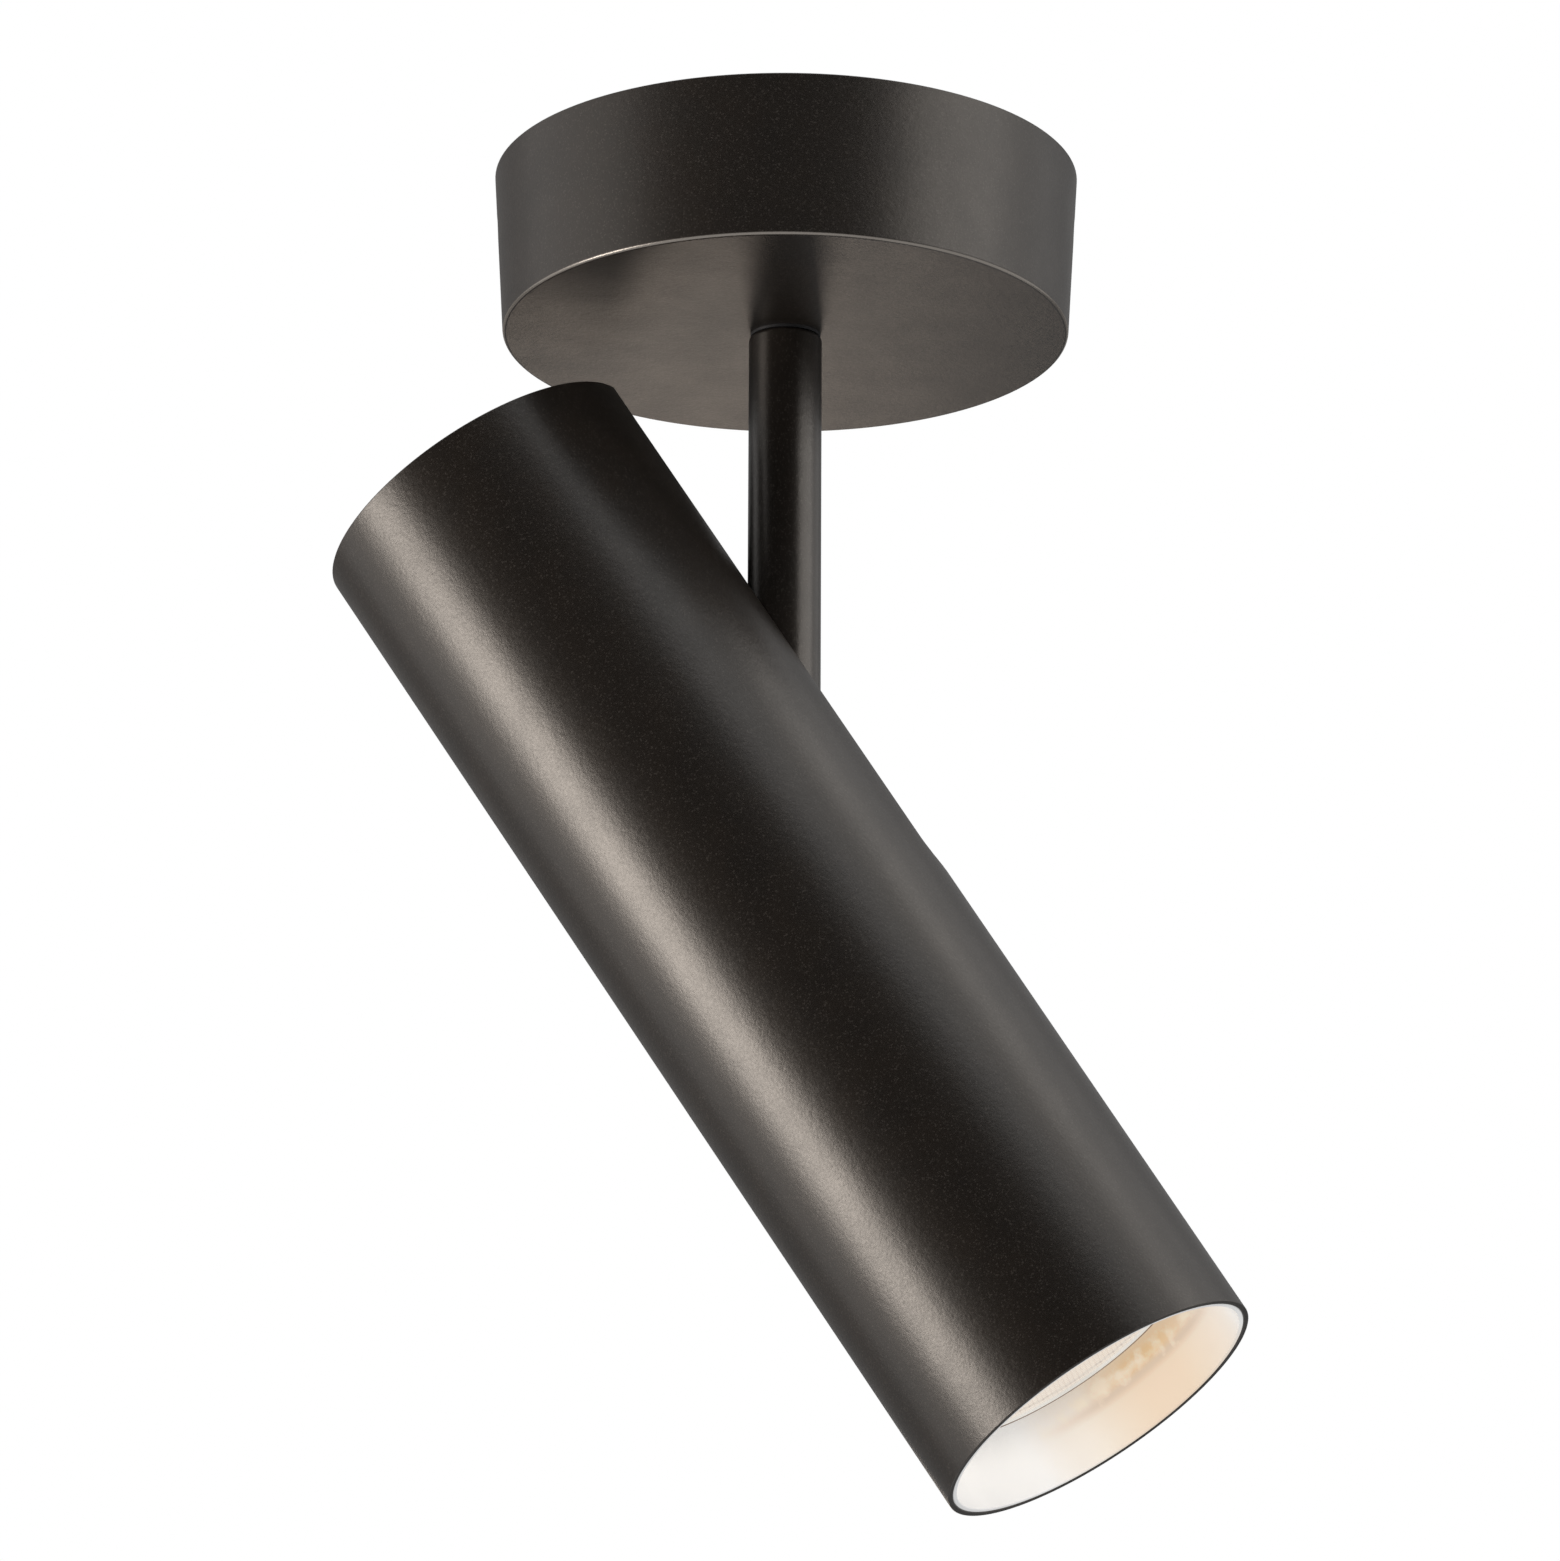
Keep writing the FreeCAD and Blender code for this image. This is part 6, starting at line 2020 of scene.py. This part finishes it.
@dataclass(frozen=True)
class Camera:
    """The photograph's viewpoint and framing, for a picture of 1560 by 1561."""

    place: tuple[float, float, float] = (0.0, -1.83225, -0.71541)
    right: tuple[float, float, float] = (0.99999, -0.00107, 0.00423)
    up: tuple[float, float, float] = (-0.00435, -0.31348, 0.94958)
    focal_pixels: float = 11218.34
    pixels_high: float = 1561.0
    sensor: float = 36.0

    def build(self) -> None:
        """Set the camera up and make it the scene's camera."""
        deselect()
        bpy.ops.object.camera_add(location=self.place)
        camera = bpy.context.object
        camera.name = "photo_view"
        right = Vector(self.right).normalized()
        back = right.cross(Vector(self.up)).normalized()
        camera.rotation_euler = Matrix((right, back.cross(right), back)).transposed().to_euler()
        camera.data.sensor_fit = "VERTICAL"
        camera.data.sensor_height = self.sensor
        camera.data.lens = self.focal_pixels / self.pixels_high * self.sensor
        camera.data.clip_start = 0.05
        bpy.context.scene.camera = camera


@dataclass(frozen=True)
class Card:
    """A curved screen round the object that only gloss sees.

    It goes from one direction to another, in degrees from the camera's side.
    """

    name: str
    start: float
    end: float
    low: float
    high: float
    glow: float
    reach: float = 3.2

    def build(self) -> None:
        """Bend the screen round the object and light it."""
        deselect()
        bpy.ops.mesh.primitive_plane_add(size=1)
        card = bpy.context.object
        card.name = self.name
        with whole_mesh():
            bpy.ops.mesh.subdivide(number_cuts=15)
        for vertex in card.data.vertices:
            turn = math.radians(self.start + (vertex.co.x + 0.5) * (self.end - self.start))
            level = self.low + (vertex.co.y + 0.5) * (self.high - self.low)
            vertex.co = (self.reach * math.sin(turn), -self.reach * math.cos(turn), level)
        nodes = Nodes(self.name)
        nodes.feed("Base Color", BLACK)
        nodes.feed("Specular IOR Level", 0.0)
        nodes.feed("Emission Color", WHITE)
        nodes.feed("Emission Strength", self.glow)
        card.data.materials.append(nodes.material)
        for ray in ("camera", "diffuse", "transmission", "volume_scatter", "shadow"):
            setattr(card, "visible_" + ray, False)


@dataclass(frozen=True)
class Studio:
    """Pale floor, white surroundings, soft lights and the screens that gloss sees."""

    floor_level: float = -2.3
    floor_half: float = 5.0
    floor_paint: tuple[float, float, float, float] = (0.82, 0.82, 0.82, 1.0)
    floor_lift: float = 0.7
    fade_start: float = 1.2
    fade_end: float = 3.2
    ambient: float = 0.60
    cards: tuple[Card, ...] = (
        Card("front_card", -60.0, 50.0, -1.5, 2.9, 0.0),
        Card("back_low_card", 128.0, 236.0, -2.2, 0.0, 0.21),
        Card("back_right_card", 132.0, 180.0, 0.0, 3.4, 0.35),
        Card("back_left_card", 180.0, 236.0, 0.0, 3.4, 0.28),
    )
    lights: tuple[Softbox, ...] = (
        Softbox("key_strip", (-0.952, -0.245, -0.18), 0.9, 0.38, 0.38, 14.5, (1.0, 0.94, 0.88),
                aim=(0.015, 0.0, -0.155)),
        Softbox("right_fill", (0.89, -0.33, 0.31), 2.1, 1.9, 0.9, 2.2, (1.0, 0.98, 0.95)),
        Softbox("cool_front", (0.40, -0.55, 0.73), 2.1, 1.0, 0.7, 1.0, (0.86, 0.93, 1.0)),
        Softbox("top_right", (0.61, -0.04, 0.79), 2.1, 0.7, 0.9, 1.6, (1.0, 0.98, 0.95)),
        Softbox("low_back", (0.0, 0.95, -0.31), 0.55, 0.10, 0.12, 2.2, (1.0, 0.84, 0.70),
                aim=(-0.019, 0.0, -0.035)),
    )

    def build(self) -> None:
        """Set up the view's colours, the world, the floor, the cards, the lights and the camera."""
        bpy.context.scene.view_settings.view_transform = "Standard"
        self.world()
        self.floor()
        for item in (*self.cards, *self.lights, Camera()):
            item.build()

    def world(self) -> None:
        """White where the camera, gloss or glass looks; a plain grey light otherwise."""
        world = bpy.data.worlds.new("surroundings")
        bpy.context.scene.world = world
        world.use_nodes = True
        tree = Tree(world.node_tree)
        path = tree.add("ShaderNodeLightPath").outputs
        seen = tree.sum("ADD", path["Is Camera Ray"], path["Is Glossy Ray"])
        seen = tree.sum("ADD", seen, path["Is Transmission Ray"], clamp=True)
        grey, white = [tree.add("ShaderNodeBackground", Color=WHITE, Strength=strength).outputs[0]
                       for strength in (self.ambient, 1.0)]
        tree.add("ShaderNodeOutputWorld", Surface=tree.either(seen, grey, white))

    def floor(self) -> None:
        """A pale floor far below the lamp, lifted towards white but with its shadow."""
        deselect()
        bpy.ops.mesh.primitive_plane_add(size=2 * self.floor_half, location=(0, 0, self.floor_level))
        floor = named("floor")
        material = bpy.data.materials.new("pale_floor")
        material.use_nodes = True
        tree = Tree(material.node_tree)
        path = tree.add("ShaderNodeLightPath").outputs
        place = tree.add("ShaderNodeTexCoord").outputs["Object"]
        reach = tree.add("ShaderNodeVectorMath", operation="LENGTH", Vector=place).outputs["Value"]
        fade = tree.spread(reach, self.floor_lift, 1.0, self.fade_start, self.fade_end)
        seen = tree.sum("MULTIPLY_ADD", path["Is Camera Ray"], fade,
                        tree.sum("MULTIPLY", path["Is Glossy Ray"], self.floor_lift))
        paint = tree.add("ShaderNodeBsdfDiffuse", Color=self.floor_paint).outputs[0]
        glow = tree.add("ShaderNodeEmission", Color=WHITE).outputs[0]
        tree.add("ShaderNodeOutputMaterial", Surface=tree.either(seen, paint, glow))
        floor.data.materials.append(material)


# --- making ---------------------------------------------------------------------------------


def dress_nodes() -> None:
    """Give every node of the frame its finish."""
    by_slot = {finish.slot: finish for finish in FINISHES}
    for part in frame["record"]["subparts"]:
        node = part["node"]
        finish = NODE_FINISHES.get(node, by_slot[part["material_slot"]])
        for holder in frame["nodes"][node].material_slots:
            holder.material = Paintbox.of(finish)


def main() -> None:
    """Dress the frame, build the modelled pieces and set up the studio."""
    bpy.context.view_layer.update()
    dress_nodes()
    for whole in (CeilingSide(), Stem(), Head(), Lamp()):
        whole.build()
    Studio().build()


if __name__ == "__main__":
    main()
